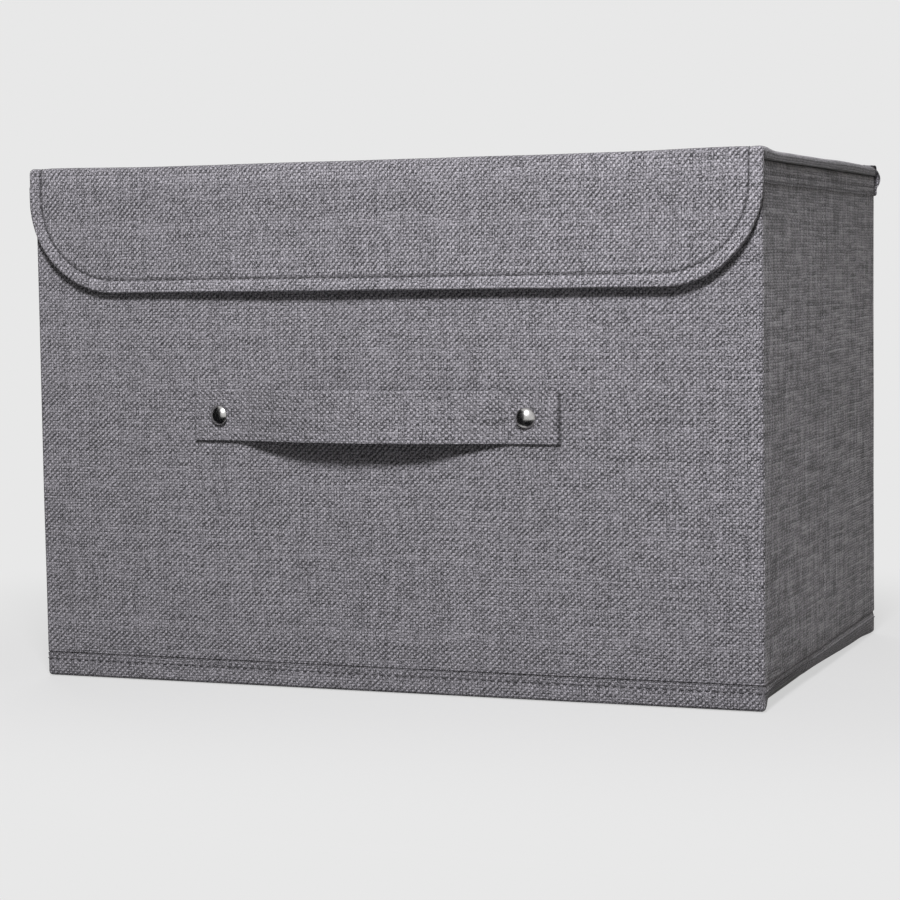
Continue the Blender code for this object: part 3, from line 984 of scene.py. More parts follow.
def add_knuckle(draft):
    """The cloth hidden in the left front corner, which fills the corner when the walls are folded."""
    thickness = bpy.context.scene.box_cloth.thickness
    centre = hinge("front_corner_fold")
    gap, end_gap = 0.0004, 0.0015
    steps = (0.0008, 0.012)
    radius = half_width - thickness - centre.x - gap

    def place(u, v, depth):
        angle = math.pi + u / radius
        r = radius - depth
        return -centre.x + r * math.cos(angle), centre.y + r * math.sin(angle), v

    turn = (-gap, quarter(radius))
    up = (wall_low + end_gap, wall_high - end_gap)
    add_patch(draft, turn, up, steps, full_rim(thickness), place)


# The foot of the sides turns under. From front to rear its height and its reach get less in two
# stretches, as (by how much, from which y, to which y)
TURN_HEIGHT = 0.0112
TURN_LOWER = ((0.0016, -0.034, -0.026), (0.0030, -0.02, 0.12))
TURN_SHALLOWER = ((0.25, -0.034, -0.026), (0.45, -0.02, 0.10))
TURN_ZONE = 0.030
TURN_END = 0.001
TURN_CURVE = 1.4
EDGE_ZONE = 0.012
FOOT_WAVE = 0.00035
FOOT_WAVE_HEIGHT = (0.001, 0.005)
FOOT_FLARE = 0.0005
FOOT_FLARE_HEIGHT = 0.0022
FOOT_CORNER = 0.0006
# Painted shade on the foot's cut edge and along its stitches, and how near to them
HEM_EDGE_SHADE, STITCH_ROW_SHADE, STITCH_ROW_SHADE_REACH = -0.65, -0.40, 0.0003


def foot_place(x, y, z):
    """The turned-up edge of the bottom cloth waves a little, laps over the wall's lower edge, and
    turns under along the sides."""
    walls = bpy.context.scene.box_walls
    flare = FOOT_FLARE * smooth(z, foot_top - FOOT_FLARE_HEIGHT, foot_top)
    waving = FOOT_WAVE * smooth(z, *FOOT_WAVE_HEIGHT)
    if abs(x) > abs(y) * half_width / half_depth and abs(x) > half_width - TURN_ZONE:
        ends = smooth(half_depth - abs(y), TURN_END, TURN_ZONE)
        tall = TURN_HEIGHT - sum(less * smooth(y, *span) for less, *span in TURN_LOWER)
        deep = 1 - sum(less * smooth(y, *span) for less, *span in TURN_SHALLOWER)
        under = walls.side_tuck * deep * max(0.0, 1 - z / tall) ** TURN_CURVE * ends
        reach = smooth(abs(x), half_width - TURN_ZONE, half_width)
        out = waving * ripple(y, z, 22, 40, 5.0 if x > 0 else 9.0) * ends + flare
        x -= math.copysign(under * reach - out, x)
    elif abs(y) > half_depth - EDGE_ZONE:
        y += math.copysign(waving * ripple(x, z, 22, 40, 1.0 if y > 0 else 2.0) + flare, y)
    return x, y, z


def build_foot():
    """The bottom cloth, turned up round the foot of the walls and sewn."""
    cloth, walls, _, _ = settings()
    rim = turned_rim(
        walls.corner_radius, cloth.thickness, foot_top + walls.hem_lap, steps=5, rows=9
    )
    spans = (-half_width, half_width), (-half_depth, half_depth)
    steps = (cloth.mesh_step, cloth.mesh_step)
    draft = Draft()
    cut = add_patch(draft, *spans, steps, rim, foot_place, FOOT_CORNER)

    # Painted shade: the hem's top edge and the groove of its stitches are darkened
    def foot_shade(z, edge):
        if z > foot_top:
            return HEM_EDGE_SHADE
        return STITCH_ROW_SHADE if abs(z - walls.foot_row) < STITCH_ROW_SHADE_REACH else edge

    draft.flat = [(u, v, foot_shade(z, edge)) for (u, v, edge), (_, _, z) in zip(draft.flat, draft.points)]

    def row_place(p, z, depth):
        x, y, out_x, out_y = outline(p)
        x, y, z = foot_place(x, y, z)
        return x - out_x * depth, y - out_y * depth, z

    end = round_to_rear(0.0)
    for start, stop in ((-end, 0.0), (0.0, end)):
        add_stitches(draft, [(start, walls.foot_row), (stop, walls.foot_row)], row_place)
    obj = dress(draft, "foot_cloth", "foot_cloth", "rear_wall", "bottom_cloth")
    slack = 0.0009
    folded = half_depth - high("rear_cover").y + folded_depth() + slack
    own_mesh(obj)
    held_sheet(cut)


def folded_depth():
    """How deep the walls are from front to rear when they are folded."""
    turn = math.radians(next(j["range_deg"][1] for j in frame["joints"] if j["name"] == "wall_fold"))
    rear, crease, front = hinge("wall_fold"), hinge("right_crease"), hinge("front_corner_fold")

    def reach(axis):
        along = abs(crease.y - axis.y)
        return along * math.cos(turn) + (crease.x - axis.x) * math.sin(turn)

    return half_depth - rear.y + reach(rear) + reach(front) + half_depth - abs(front.y)


# Linings, boards and base

FELT = 0.0005
FELT_CORNER = 0.0008
FELT_ROW = 0.0035
FELT_LAP = 0.00025
# Extra width of a lining beside its node: at the front and the rear, and at a side's corners
WIDE_LAP, CORNER_LAP = 0.0004, 0.0018
# The linings behind the creases and in the rear corners
THIN_FELT = 0.0002
JOIN_DEPTH = 0.00075
JOIN_ROWS = 0.012


def lining_swell(u, v):
    return 0.00012 * ripple(u, v, 30, 30, 4.4)


def wall_lining(name, node, body, start, end, sign):
    """A lining that closes the back of a wall panel, puffed a little towards the inside."""
    step = bpy.context.scene.box_cloth.mesh_step * 2

    def place(u, v, depth):
        return wall_place(sign * u, v, wall_stack - depth)

    bottom, top = low(node).z, high(node).z + FELT_LAP
    draft = Draft()
    cut = add_patch(
        draft, (start, end), (bottom, top), (step, step), full_rim(FELT), place, FELT_CORNER,
        lining_swell,
    )
    add_stitches(draft, box_run((start, bottom), (end, top), FELT_ROW), place, lining_swell)
    obj = dress(draft, name, "lining_felt", body, node)
    held_sheet(cut)


def joining_lining(name, side, span, step, place):
    """A strip of lining between two bodies, which joins their linings."""
    draft = Draft()
    up = low(f"{side}_rear_board").z, high(f"{side}_rear_board").z
    cut = add_patch(draft, span, up, (step, JOIN_ROWS), full_rim(THIN_FELT), place)
    obj = draft.build(name, "lining_felt", "sewing_thread")
    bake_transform(obj)
    held_sheet(cut)


def build_crease_lining(side, sign):
    """The lining behind a side's crease, which joins the linings of its two halves."""
    reach = 0.0052
    behind = wall_stack - JOIN_DEPTH
    crease = hinge(f"{side}_crease")
    centre = round_to_side(crease.y)
    joining_lining(
        f"{side}_crease_lining", side, (centre - reach, centre + reach), 0.0007,
        lambda u, v, depth: wall_place(sign * u, v, behind + depth),
    )


def build_corner_lining(side, sign):
    """The lining in a rear corner, which joins the linings of the rear wall and of a side."""
    radius = 0.0012
    behind = wall_stack - JOIN_DEPTH
    inner_x, inner_y = half_width - behind, half_depth - behind
    centre_x, centre_y = inner_x - radius, inner_y - radius
    bend = quarter(radius)
    pivot_y = hinge("wall_fold").y
    # How far the strip goes past the pivot, and how far it goes behind the rear lining
    side_lap, rear_lap = 0.0050, 0.0015

    def place(u, v, depth):
        if u < 0:
            x, y = inner_x - depth, centre_y + u
        elif u < bend:
            r, angle = radius - depth, u / radius
            x, y = centre_x + r * math.cos(angle), centre_y + r * math.sin(angle)
        else:
            x, y = centre_x - (u - bend), inner_y - depth
        return sign * x, y, v

    start = pivot_y - side_lap - centre_y
    end = bend + centre_x - high("rear_lining").x + rear_lap
    joining_lining(
        f"{side}_corner_lining", side, (start, end), 0.0006, place,
    )


def build_linings():
    for name, centre in (("front", 0.0), ("rear", round_to_rear(0.0))):
        node = f"{name}_lining"
        wide = high(node).x + WIDE_LAP
        wall_lining(f"{node}_felt", node, f"{name}_wall", centre - wide, centre + wide, 1)
    side_middle = round_to_side(0.0)
    for side, sign in SIDES:
        for half in ("front", "rear"):
            node = f"{side}_{half}_lining"
            first = low(node).y + side_middle - CORNER_LAP * (half == "front")
            last = high(node).y + side_middle + CORNER_LAP * (half == "rear")
            wall_lining(f"{node}_felt", node, f"{side}_{half}", first, last, sign)
        build_crease_lining(side, sign)
        build_corner_lining(side, sign)


def build_boards():
    """The boards keep their own solids, and get their pulp."""
    for name, node in frame["nodes"].items():
        if name.endswith("_board") and name != "flap_board":
            node.data.materials.clear()
            node.data.materials.append(bpy.data.materials["pulp_board"])


SLEEVE = 0.00045
SLEEVE_CORNER = 0.0015
SLEEVE_ROW = 0.004
SLEEVE_LAP = 0.0007


def build_base():
    """The base board's sleeve of two layers sewn all round, and its pull tab."""
    step = bpy.context.scene.box_cloth.mesh_step * 1.5
    lower, upper = node_boxes["base_cover"]
    half_stack = (upper.z - lower.z) / 2
    rim = turned_rim(half_stack - 0.0001, SLEEVE, half_stack)
    draft = Draft()

    def add_layer(place):
        spans = (lower.x, upper.x), (lower.y - SLEEVE_LAP, upper.y)
        return add_patch(draft, *spans, (step, step), rim, place, SLEEVE_CORNER, lining_swell)

    def upper_place(u, v, depth):
        return u, v, upper.z - depth

    cut = add_layer(upper_place)
    run = [(x, y) for y, x in box_run((lower.y, lower.x), (upper.y, upper.x), SLEEVE_ROW)]
    add_stitches(draft, run, upper_place, lining_swell)
    add_layer(lambda u, v, depth: (u, v, lower.z + depth))
    obj = dress(draft, "base_sleeve", "lining_felt", "base", "base_cover")
    build_pull_tab()


TAB_CURL = 0.0035
TAB_CURL_FROM = 0.020
# The box of stitches that holds the tab: inset at the sides, and both ends
TAB_STITCHES = (0.003, 0.002, 0.015)


def build_pull_tab():
    """A doubled strip of lining with a round end, sewn down by a box of stitches."""
    lower, upper = node_boxes["pull_tab"]
    rim = full_rim(upper.z - lower.z)
    corner = (upper.x - lower.x) / 2 - rim_width(rim) - 0.0002

    def place(u, v, depth):
        curl = TAB_CURL * smooth(v, lower.y + TAB_CURL_FROM, upper.y)
        return u, v, upper.z - depth + curl

    across = grid_lines(lower.x, upper.x, 0.0015, rim, corner)
    along = grid_lines(lower.y, upper.y, 0.0020, rim, corner, rims=(False, True))
    draft = Draft()
    cut = add_panel(draft, across, along, rim, place, corner)
    inset, first, last = TAB_STITCHES
    left, right, near, far = lower.x + inset, upper.x - inset, lower.y + first, lower.y + last
    add_stitches(draft, box_run((left, near), (right, far), 0.0), place)
    add_stitches(draft, [(left, near), (right, far)], place)
    add_stitches(draft, [(left, far), (right, near)], place)
    obj = dress(draft, "pull_tab_strip", "lining_felt", "base", "pull_tab")
    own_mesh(obj)


# Lid and flap

# The crown rises outwards from the middle and forwards, and ends on the flap. Behind it is the sag
CROWN_ACROSS = (0.115, 0.180)
CROWN_FORWARD = (-0.026, -0.004)
CROWN_END = (0.003, 0.016)
SAG_START = (0.008, 0.030)
SAG_END = (0.110, 0.200)
LID_STAND = 0.0002
# The flap stands off the wall more on the right, from share to share between two x
FLAP_SHARES = (0.28, 0.72)
FLAP_SPREAD = (-0.16, -0.02)
FLAP_RIPPLE = 0.0005
SLOPE_STEP = 0.0005
# Behind the nose, a rise or a turned side edge changes over this length
NOSE_EASE = 0.0016
NOSE_GAP = 0.0003
LID_CORNER = 0.0012
# How far from the nose's round its cloth meets the lid's and the flap's
JOINT = 0.0060
# A darker band along the nose: how much, and its middle and width as shares of the round
NOSE_DARKENING, NOSE_DARK_SHARES = -0.45, (0.35, 0.75)
NOSE_STEP = 0.0010
LID_STITCHES_FROM = 0.010
LID_FELT_CORNER, LID_FELT_ROW = 0.001, 0.0040


def nose_round():
    """The lid's round nose: its centre's y, its centre's z, its radius and the cloth round it."""
    radius = bpy.context.scene.box_lid.nose_radius
    return low("flap_cover").y + radius, lid_top - radius, radius, quarter(radius)


def flap_w(z):
    """The place w of a height on the upright flap."""
    _, centre_z, _, bend = nose_round()
    return bend + centre_z - z


def lid_rise(x, w):
    """How far the lid's cloth stands over its board: most at the nose's ends, least behind them."""
    lid = bpy.context.scene.box_lid
    crown = lid.crown * smooth(abs(x), *CROWN_ACROSS) * smooth(w, *CROWN_FORWARD)
    crown *= 1 - smooth(w, *CROWN_END)
    sag = lid.sag * smooth(-w, *SAG_START) * (1 - smooth(-w, *SAG_END))
    return crown + LID_STAND - sag


def flap_stand(x, drop):
    """How far the flap has swung out from upright, by the time it has dropped this far."""
    lid = bpy.context.scene.box_lid
    share = min(max(drop / (lid_top - low("flap_cover").z), 0.0), 1.0)
    along = FLAP_SHARES[0] + FLAP_SHARES[1] * smooth(x, *FLAP_SPREAD)
    return (lid.flap_lift * along + FLAP_RIPPLE * ripple(x, 1, 13, 0.3, 8.0)) * share**1.7


def cover_place(x, w, depth):
    """A place on the cloth that covers lid and flap in one run. w counts towards the front and
    down, from where the lid's nose starts."""
    centre_y, centre_z, radius, bend = nose_round()
    rise = lid_rise(x, w)
    if w <= 0:
        rise *= 1 - min(depth / lid_stack, 1.0) * smooth(-w, 0.0, NOSE_EASE)
        return x, centre_y - w, centre_z + radius - depth + rise
    if w < bend:
        angle = w / radius
        r = radius - depth
        return x, centre_y - r * math.sin(angle), centre_z + r * math.cos(angle) + rise
    drop = w - bend
    stand = flap_stand(x, drop)
    slope = (flap_stand(x, drop + SLOPE_STEP) - stand) / SLOPE_STEP
    return x, centre_y - radius - stand + depth, centre_z - drop - depth * slope + rise


def nose_place(x, w, depth):
    """The nose's cloth. Behind the nose its side edges reach as far down as the lid's."""
    lid = bpy.context.scene.box_lid
    below = depth - lid.side_radius
    if below > 0 and w < 0:
        full = lid_stack - lid.side_radius
        reach = full / (lid.nose_radius - NOSE_GAP - lid.side_radius)
        depth += below * (reach - 1) * smooth(-w, 0.0, NOSE_EASE)
    return cover_place(x, w, depth)


TOPSTITCH_GROOVE = (0.00050, 0.0011)
TOPSTITCH_PUCKER = (0.00020, 0.006)


def cover_swell(x, w):
    """The lid's cloth is a little uneven. The cloth is drawn in along the topstitching."""
    cloth = bpy.context.scene.box_cloth
    lift = cloth.swell * (1.1 * ripple(x, w, 8, 9, 21.0) + 0.5 * ripple(x, w, 30, 28, 25.0))
    groove = topstitch_distance(x, w)
    lift -= TOPSTITCH_GROOVE[0] * dip(groove, TOPSTITCH_GROOVE[1])
    lift += TOPSTITCH_PUCKER[0] * ripple(x, w, 110, 110, 12.0) * dip(groove, TOPSTITCH_PUCKER[1])
    return lift


def topstitch_distance(x, w):
    """The distance to the line of topstitching round lid and flap."""
    lid = bpy.context.scene.box_lid
    foot = flap_w(low("flap_cover").z)
    corner_x, corner_w = lid_half - lid.flap_corner, foot - lid.flap_corner
    if abs(x) > corner_x and w > corner_w:
        edge = lid.flap_corner - math.hypot(abs(x) - corner_x, w - corner_w)
    else:
        edge = min(lid_half - abs(x), foot - w)
    return edge - lid.topstitch_inset


# What the weave's third value says at a seam. Below zero it is painted shade: (how much, how wide)
# along the stitches, and on the turned edge, darkest on its very rim as a painted shadow. Between the
# two is a painted highlight
SEAM_SHADE = (-0.75, 0.0009)
SEAM_REACH = 0.0014
TURNED_EDGE_SHADE, TURNED_FROM = -0.50, 0.0004
RIM_SHADOW, RIM_REACH = -1.0, 0.0005
SEAM_HIGHLIGHT = 0.0004


def shade_seams(draft):
    """Marks the lid's and the flap's cloth for its painted light: painted shade along the topstitching
    and on the turned edges, a painted highlight outside the stitches."""
    inset = bpy.context.scene.box_lid.topstitch_inset
    marked = []
    for x, w, edge in draft.flat:
        inside = topstitch_distance(x, w)
        if abs(inside) < SEAM_REACH:
            edge = SEAM_SHADE[0] * dip(inside, SEAM_SHADE[1])
        elif inside < -inset - TURNED_FROM:
            edge = RIM_SHADOW if edge < RIM_REACH else TURNED_EDGE_SHADE
        elif inside < 0:
            edge = min(edge, SEAM_HIGHLIGHT)
        marked.append((x, w, edge))
    draft.flat = marked


def side_stitches(draft, first, last):
    """The topstitching along both sides of the lid."""
    inset = bpy.context.scene.box_lid.topstitch_inset
    for side in (1, -1):
        x = side * (lid_half - inset)
        add_stitches(draft, [(x, first), (x, last)], cover_place, cover_swell)


def build_lid():
    """The lid's cloth with its turned side and rear edges, its nose at the front, and its lining."""
    cloth, _, lid, _ = settings()
    centre_y = nose_round()[0]
    rim = turned_rim(lid.side_radius, cloth.thickness, lid_stack, rows=4)
    marks = (lid.topstitch_inset - lid_half, lid_half - lid.topstitch_inset)
    rear_w = centre_y - high("lid_cover").y
    across = grid_lines(-lid_half, lid_half, cloth.mesh_step, rim, LID_CORNER, marks=marks)
    along = grid_lines(rear_w, -JOINT, cloth.mesh_step, rim, LID_CORNER, rims=(True, False))
    draft = Draft()
    cut = add_panel(draft, across, along, rim, cover_place, LID_CORNER, cover_swell)
    shade_seams(draft)
    side_stitches(draft, rear_w + LID_STITCHES_FROM, -JOINT)
    obj = dress(draft, "lid_top_cloth", "lid_cloth", "lid", "lid_cover")
    held_sheet(cut)
    build_nose(marks)
    build_lid_lining()


def build_nose(marks):
    """The cloth that bends from the lid into the flap, with its side edges turned in."""
    cloth, _, lid, _ = settings()
    _, _, radius, bend = nose_round()
    rim = turned_rim(lid.side_radius, cloth.thickness, radius - NOSE_GAP, rows=2)
    across = grid_lines(-lid_half, lid_half, cloth.mesh_step, rim, marks=marks)
    along = grid_lines(-JOINT, bend + JOINT, NOSE_STEP)
    draft = Draft()
    cut = add_panel(draft, across, along, rim, nose_place, swell=cover_swell)
    shade_seams(draft)
    # A band along the nose is painted darker
    dark_at, dark_width = (bend * share for share in NOSE_DARK_SHARES)
    draft.flat = [
        (x, w, NOSE_DARKENING * dip(w - dark_at, dark_width) if edge > 0.5 else edge)
        for x, w, edge in draft.flat
    ]
    side_stitches(draft, -JOINT, bend + JOINT)
    obj = draft.build("lid_nose_cloth", "lid_cloth", "sewing_thread")
    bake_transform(obj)
    held_sheet(cut)


def build_lid_lining():
    """The lid's lining, sewn inside the turned edge."""
    lower, upper = node_boxes["lid_lining"]
    step = bpy.context.scene.box_cloth.mesh_step * 2

    def place(u, v, depth):
        return u, v, lower.z + depth

    draft = Draft()
    cut = add_patch(
        draft, (lower.x, upper.x), (lower.y, upper.y), (step, step), full_rim(upper.z - lower.z),
        place, LID_FELT_CORNER, lining_swell,
    )
    add_stitches(draft, box_run(lower, upper, LID_FELT_ROW), place, lining_swell)
    obj = dress(draft, "lid_lining_felt", "lining_felt", "lid", "lid_lining")
    held_sheet(cut)


# Share of its rectangle that the flap's round corners leave
CORNER_PARTS = 12


def flap_run(inset, top):
    """A line round the flap, an inset inside its edge, as (x, w) points."""
    corner = bpy.context.scene.box_lid.flap_corner
    foot = flap_w(low("flap_cover").z)
    run = [(-lid_half + inset, top)]
    for side in (-1, 1):
        for step in range(CORNER_PARTS + 1):
            angle = math.pi / 2 * (step if side < 0 else CORNER_PARTS - step) / CORNER_PARTS
            x = lid_half - corner + (corner - inset) * math.cos(angle)
            run.append((side * x, foot - corner + (corner - inset) * math.sin(angle)))
    run.append((lid_half - inset, top))
    return run


def build_flap():
    """The flap: its cloth with turned edges and topstitching, and its card and lining, all gently
    bent."""
    cloth, _, lid, _ = settings()
    foot, top = flap_w(low("flap_cover").z), nose_round()[3] + JOINT
    rings = (lid.topstitch_inset,)
    rim = turned_rim(0.0012, cloth.thickness, flap_stack, rows=2)
    corner = lid.flap_corner - rim_width(rim)
    across = grid_lines(-lid_half, lid_half, cloth.mesh_step, rim, corner, insets=rings)
    along = grid_lines(top, foot, cloth.mesh_step, rim, corner, rims=(False, True), insets=rings)
    draft = Draft()
    cut = add_panel(draft, across, along, rim, cover_place, corner, cover_swell)
    shade_seams(draft)
    add_stitches(draft, flap_run(lid.topstitch_inset, top), cover_place, cover_swell)
    obj = dress(draft, "flap_cloth", "lid_cloth", "flap", "flap_cover")
    held_sheet(cut)
    build_flap_layer("flap_card", "flap_board", "pulp_board", "board")
    build_flap_layer("flap_lining_felt", "flap_lining", "lining_felt", "lining")


def build_flap_layer(name, node, material, slot):
    """A thin layer inside the flap, in the shape of the flap's outline drawn in."""
    cloth, _, lid, _ = settings()
    lower, upper = node_boxes[node]
    thickness = upper.y - lower.y
    first = lower.y - low("flap_cover").y
    rim = full_rim(thickness)
    drawn_in = lid_half - upper.x
    corner = lid.flap_corner - drawn_in - rim_width(rim)

    def place(u, v, depth):
        inward = first + depth if slot == "board" else first + thickness - depth
        return cover_place(u, v, inward)

    top, foot = flap_w(upper.z), flap_w(lower.z)
    across = grid_lines(lower.x, upper.x, cloth.mesh_step, rim, corner)
    along = grid_lines(top, foot, cloth.mesh_step, rim, corner, rims=(False, True))
    draft = Draft()
    cut = add_panel(draft, across, along, rim, place, corner)
    if slot == "lining":
        add_stitches(draft, flap_run(drawn_in + 0.004, top + 0.001), place)
    obj = dress(draft, name, material, "flap", node)
    if slot == "lining":
        held_sheet(cut)


TAPE = 0.0006
TAPE_BEND = 0.0024
TAPE_STAND = 0.0007
# Length of tape that is free to puff, below the bend
TAPE_FREE = 0.0100
# The puff doubles towards the right, from the first distance before the lid's side to the second.
# It closes towards both ends
TAPE_FULL = (0.028, 0.008)
TAPE_CLOSING, TAPE_CLOSED = 0.006, 0.0064
TAPE_UNEVEN = 0.35
TAPE_FLARE, TAPE_FLARE_LENGTH = 0.0004, 0.003
TAPE_SPREAD_FROM, TAPE_SPREAD_TO = 0.012, 0.001
# Rows of stitches: below the upper edge, and above the lower edge
TAPE_ROWS = (0.0025, 0.0030)
TAPE_CORNER, TAPE_STEP = 0.001, 0.0011
TAPE_END_LINE, TAPE_STITCH_INSET = 0.003, 0.004
# The tape is painted darker near each end, this far in from the end
TAPE_END_DARKENING, TAPE_END_DARK_REACH = -0.5, 0.0015


def tape_place(x, w, depth):
    """A place on the hinge tape. w counts over the lid's rear edge and down the rear wall."""
    lid = bpy.context.scene.box_lid
    radius = TAPE_BEND
    end_x, face_y = high("lid_hinge_strip").xy
    top_z = lid_top + TAPE_STAND
    start_y = face_y - lid.tape_reach
    flat = lid.tape_reach - radius
    bend = quarter(radius)
    if w < flat:
        return x, start_y + w, top_z - depth
    if w < flat + bend:
        angle = (w - flat) / radius
        r = radius - depth
        return x, start_y + flat + r * math.sin(angle), top_z - radius + r * math.cos(angle)
    drop = w - flat - bend
    arch = math.sin(math.pi * min(drop / TAPE_FREE, 1.0))
    fullness = 1 + smooth(x, lid_half - TAPE_FULL[0], lid_half - TAPE_FULL[1])
    closing = max(0.0, abs(x) - end_x + TAPE_CLOSING) / TAPE_CLOSED
    fullness *= math.sqrt(max(0.0, 1 - closing**2))
    puff = lid.tape_bulge * fullness * arch**1.4
    puff *= 1 + TAPE_UNEVEN * ripple(x, drop, 35, 60, 6.0)
    flare = TAPE_FLARE * smooth(drop, TAPE_FREE, TAPE_FREE + TAPE_FLARE_LENGTH)
    spread = smooth(abs(x), lid_half - TAPE_SPREAD_FROM, lid_half - TAPE_SPREAD_TO) * arch**0.7
    x += math.copysign(lid.tape_spread * spread, x)
    return x, face_y + puff + flare - depth, top_z - radius - drop


def build_hinge_tape():
    """The tail of the lid's cloth: it lies on the lid's rear edge and is sewn down the rear wall."""
    cloth, _, lid, _ = settings()
    lower, upper = node_boxes["lid_hinge_strip"]
    rim = full_rim(TAPE)
    down = lid_top + TAPE_STAND - TAPE_BEND - (lower.z + lid.tape_tail)
    length = lid.tape_reach - TAPE_BEND + quarter(TAPE_BEND) + down
    ends = (lower.x + TAPE_END_LINE, upper.x - TAPE_END_LINE)
    across = grid_lines(lower.x, upper.x, cloth.mesh_step, rim, TAPE_CORNER, marks=ends)
    along = grid_lines(0.0, length, TAPE_STEP, rim, TAPE_CORNER)
    draft = Draft()
    cut = add_panel(draft, across, along, rim, tape_place, TAPE_CORNER)
    darkening_at = upper.x - TAPE_END_DARK_REACH
    draft.flat = [(u, v, TAPE_END_DARKENING if abs(u) > darkening_at else edge) for u, v, edge in draft.flat]
    first, last = lower.x + TAPE_STITCH_INSET, upper.x - TAPE_STITCH_INSET
    for row in (TAPE_ROWS[0], length - TAPE_ROWS[1]):
        add_stitches(draft, [(first, row), (last, row)], tape_place)
    obj = draft.build("lid_hinge_tape", "lid_cloth", "sewing_thread")
    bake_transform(obj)
    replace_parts(obj, "lid_hinge_strip")


# Strap and rivets

# The strap's highest place lies left of its middle, and its node is this much deeper than its rise
STRAP_PEAK = -0.003
STRAP_SPARE = 0.002
# The lower edge sags by this much where the rise is full, and the waves are full from a lower rise
STRAP_SAG, SAG_RISE = 0.0006, 0.010
STRAP_WAVE, WAVE_RISE = 0.0004, 0.003
# A dark outline reaches this far in from the right end, and painted shade this far up from the lower
# edge
STRAP_DARK_REACH = (0.0012, 0.0003)
STRAP_CORNER = 0.0006
# Two soft creases across the strap, from its middle
STRAP_CREASES = (-0.066, 0.046)
CREASE_DIP = (0.00045, 0.0060)
RIVET_DIP = (0.00030, 0.0058)


def strap_rise(x):
    """How far the strap stands off the wall. Its rise starts a little inside each rivet."""
    left, right = (middle(f"rivet_stud_{side}").x for side in ("left", "right"))
    half = (right - left) / 2 - bpy.context.scene.box_fittings.rise_inset
    share = min(abs(x - strap_middle.x - STRAP_PEAK) / half, 1.0)
    return (strap_size.y - STRAP_SPARE) * (1 - share**2.8) ** 1.9


def strap_place(u, v, depth):
    """The strap's lower edge stands off a little more than its upper edge."""
    face = high("strap_handle").y - bpy.context.scene.box_fittings.strap_thickness
    rise = strap_rise(u)
    up = (v - low("strap_handle").z) / strap_size.z
    sag = STRAP_SAG * (1 - up) * rise / SAG_RISE
    wave = STRAP_WAVE * ripple(u, v, 38, 20, 17.0) * min(rise / WAVE_RISE, 1.0)
    return u, face - rise - sag - wave + depth, v


def strap_swell(u, v):
    lift = 0.00012 * ripple(u, v, 60, 60, 33.0)
    for side in ("left", "right"):
        rivet = middle(f"rivet_stud_{side}")
        lift -= RIVET_DIP[0] * dip(math.hypot(u - rivet.x, v - rivet.z), RIVET_DIP[1])
    for crease in STRAP_CREASES:
        lift -= CREASE_DIP[0] * dip(u - strap_middle.x - crease, CREASE_DIP[1])
    return lift


def build_strap():
    """The strap handle: doubled cloth, flat at its rivets and bulged between them."""
    fittings = bpy.context.scene.box_fittings
    lower, upper = node_boxes["strap_handle"]
    rim = full_rim(fittings.strap_thickness, fittings.strap_edge)
    draft = Draft()
    cut = add_patch(
        draft, (lower.x, upper.x), (lower.z, upper.z), (0.0022, 0.0016), rim, strap_place,
        STRAP_CORNER, strap_swell,
    )
    right, foot = upper.x - STRAP_DARK_REACH[0], lower.z + STRAP_DARK_REACH[1]
    # Painted shade along the lower edge, and a dark outline along the right end
    draft.flat = [(u, v, -1.0 if u > right or v < foot else 1.0) for u, v, _ in draft.flat]
    obj = dress(draft, "strap_band", "strap_cloth", "front_wall", "strap_handle")


def turned_piece(name, profile, centre, turn, closed=False):
    """A profile of (radius, height) turned about its axis, and stood at a place of the frame."""
    bm = bmesh.new()
    verts = [bm.verts.new((radius, 0, height)) for radius, height in profile]
    pairs = zip(verts, verts[1:] + verts[:1] if closed else verts[1:])
    edges = [bm.edges.new(pair) for pair in pairs]
    bmesh.ops.spin(
        bm, geom=verts + edges, cent=(0, 0, 0), axis=(0, 0, 1), angle=2 * math.pi,
        steps=bpy.context.scene.box_fittings.cap_sides, use_merge=True,
    )
    bmesh.ops.remove_doubles(bm, verts=bm.verts, dist=0.000005)
    bmesh.ops.recalc_face_normals(bm, faces=bm.faces)
    bm.transform(Matrix.Translation(centre) @ turn)
    mesh = mesh_from(bm, name, "nickel_plate")
    mesh.shade_smooth()
    mesh.set_sharp_from_angle(angle=math.radians(50))
    return add_object(name, mesh)


CAP_STAND = 0.0006
CAP_LAP = 0.0002
CAP_STEEPEST = math.radians(50)
CAP_RINGS = 12
POST_RADIUS = 0.0015


def cap_profile(radius, post_end):
    """A domed cap from its top to its rolled rim, and on down its post."""
    ball = radius / math.sin(CAP_STEEPEST)
    base = CAP_STAND - ball * math.cos(CAP_STEEPEST)
    dome = [(0.0, base + ball)]
    for step in range(1, CAP_RINGS + 1):
        angle = CAP_STEEPEST * step / CAP_RINGS
        dome.append((ball * math.sin(angle), base + ball * math.cos(angle)))
    rolled = [(radius + 0.00015, 0.0004), (radius + 0.0001, 0.00005), (radius - 0.0004, -0.0001)]
    post = [(POST_RADIUS, -0.0001), (POST_RADIUS, post_end), (0.0, post_end)]
    return dome + rolled + post


def washer_profile(outer, thick):
    """The set back of a rivet: a ring, thickest where the post is spread over it."""
    inner_side = [(0.0018, 0.0), (0.0018, thick * 0.7), (0.0021, thick)]
    slope = [(0.0026, thick), (0.0030, thick * 0.75), (outer - 0.0005, thick * 0.62)]
    edge = [(outer - 0.0001, thick * 0.4), (outer, thick * 0.2), (outer - 0.0001, 0.0)]
    return inner_side + slope + edge


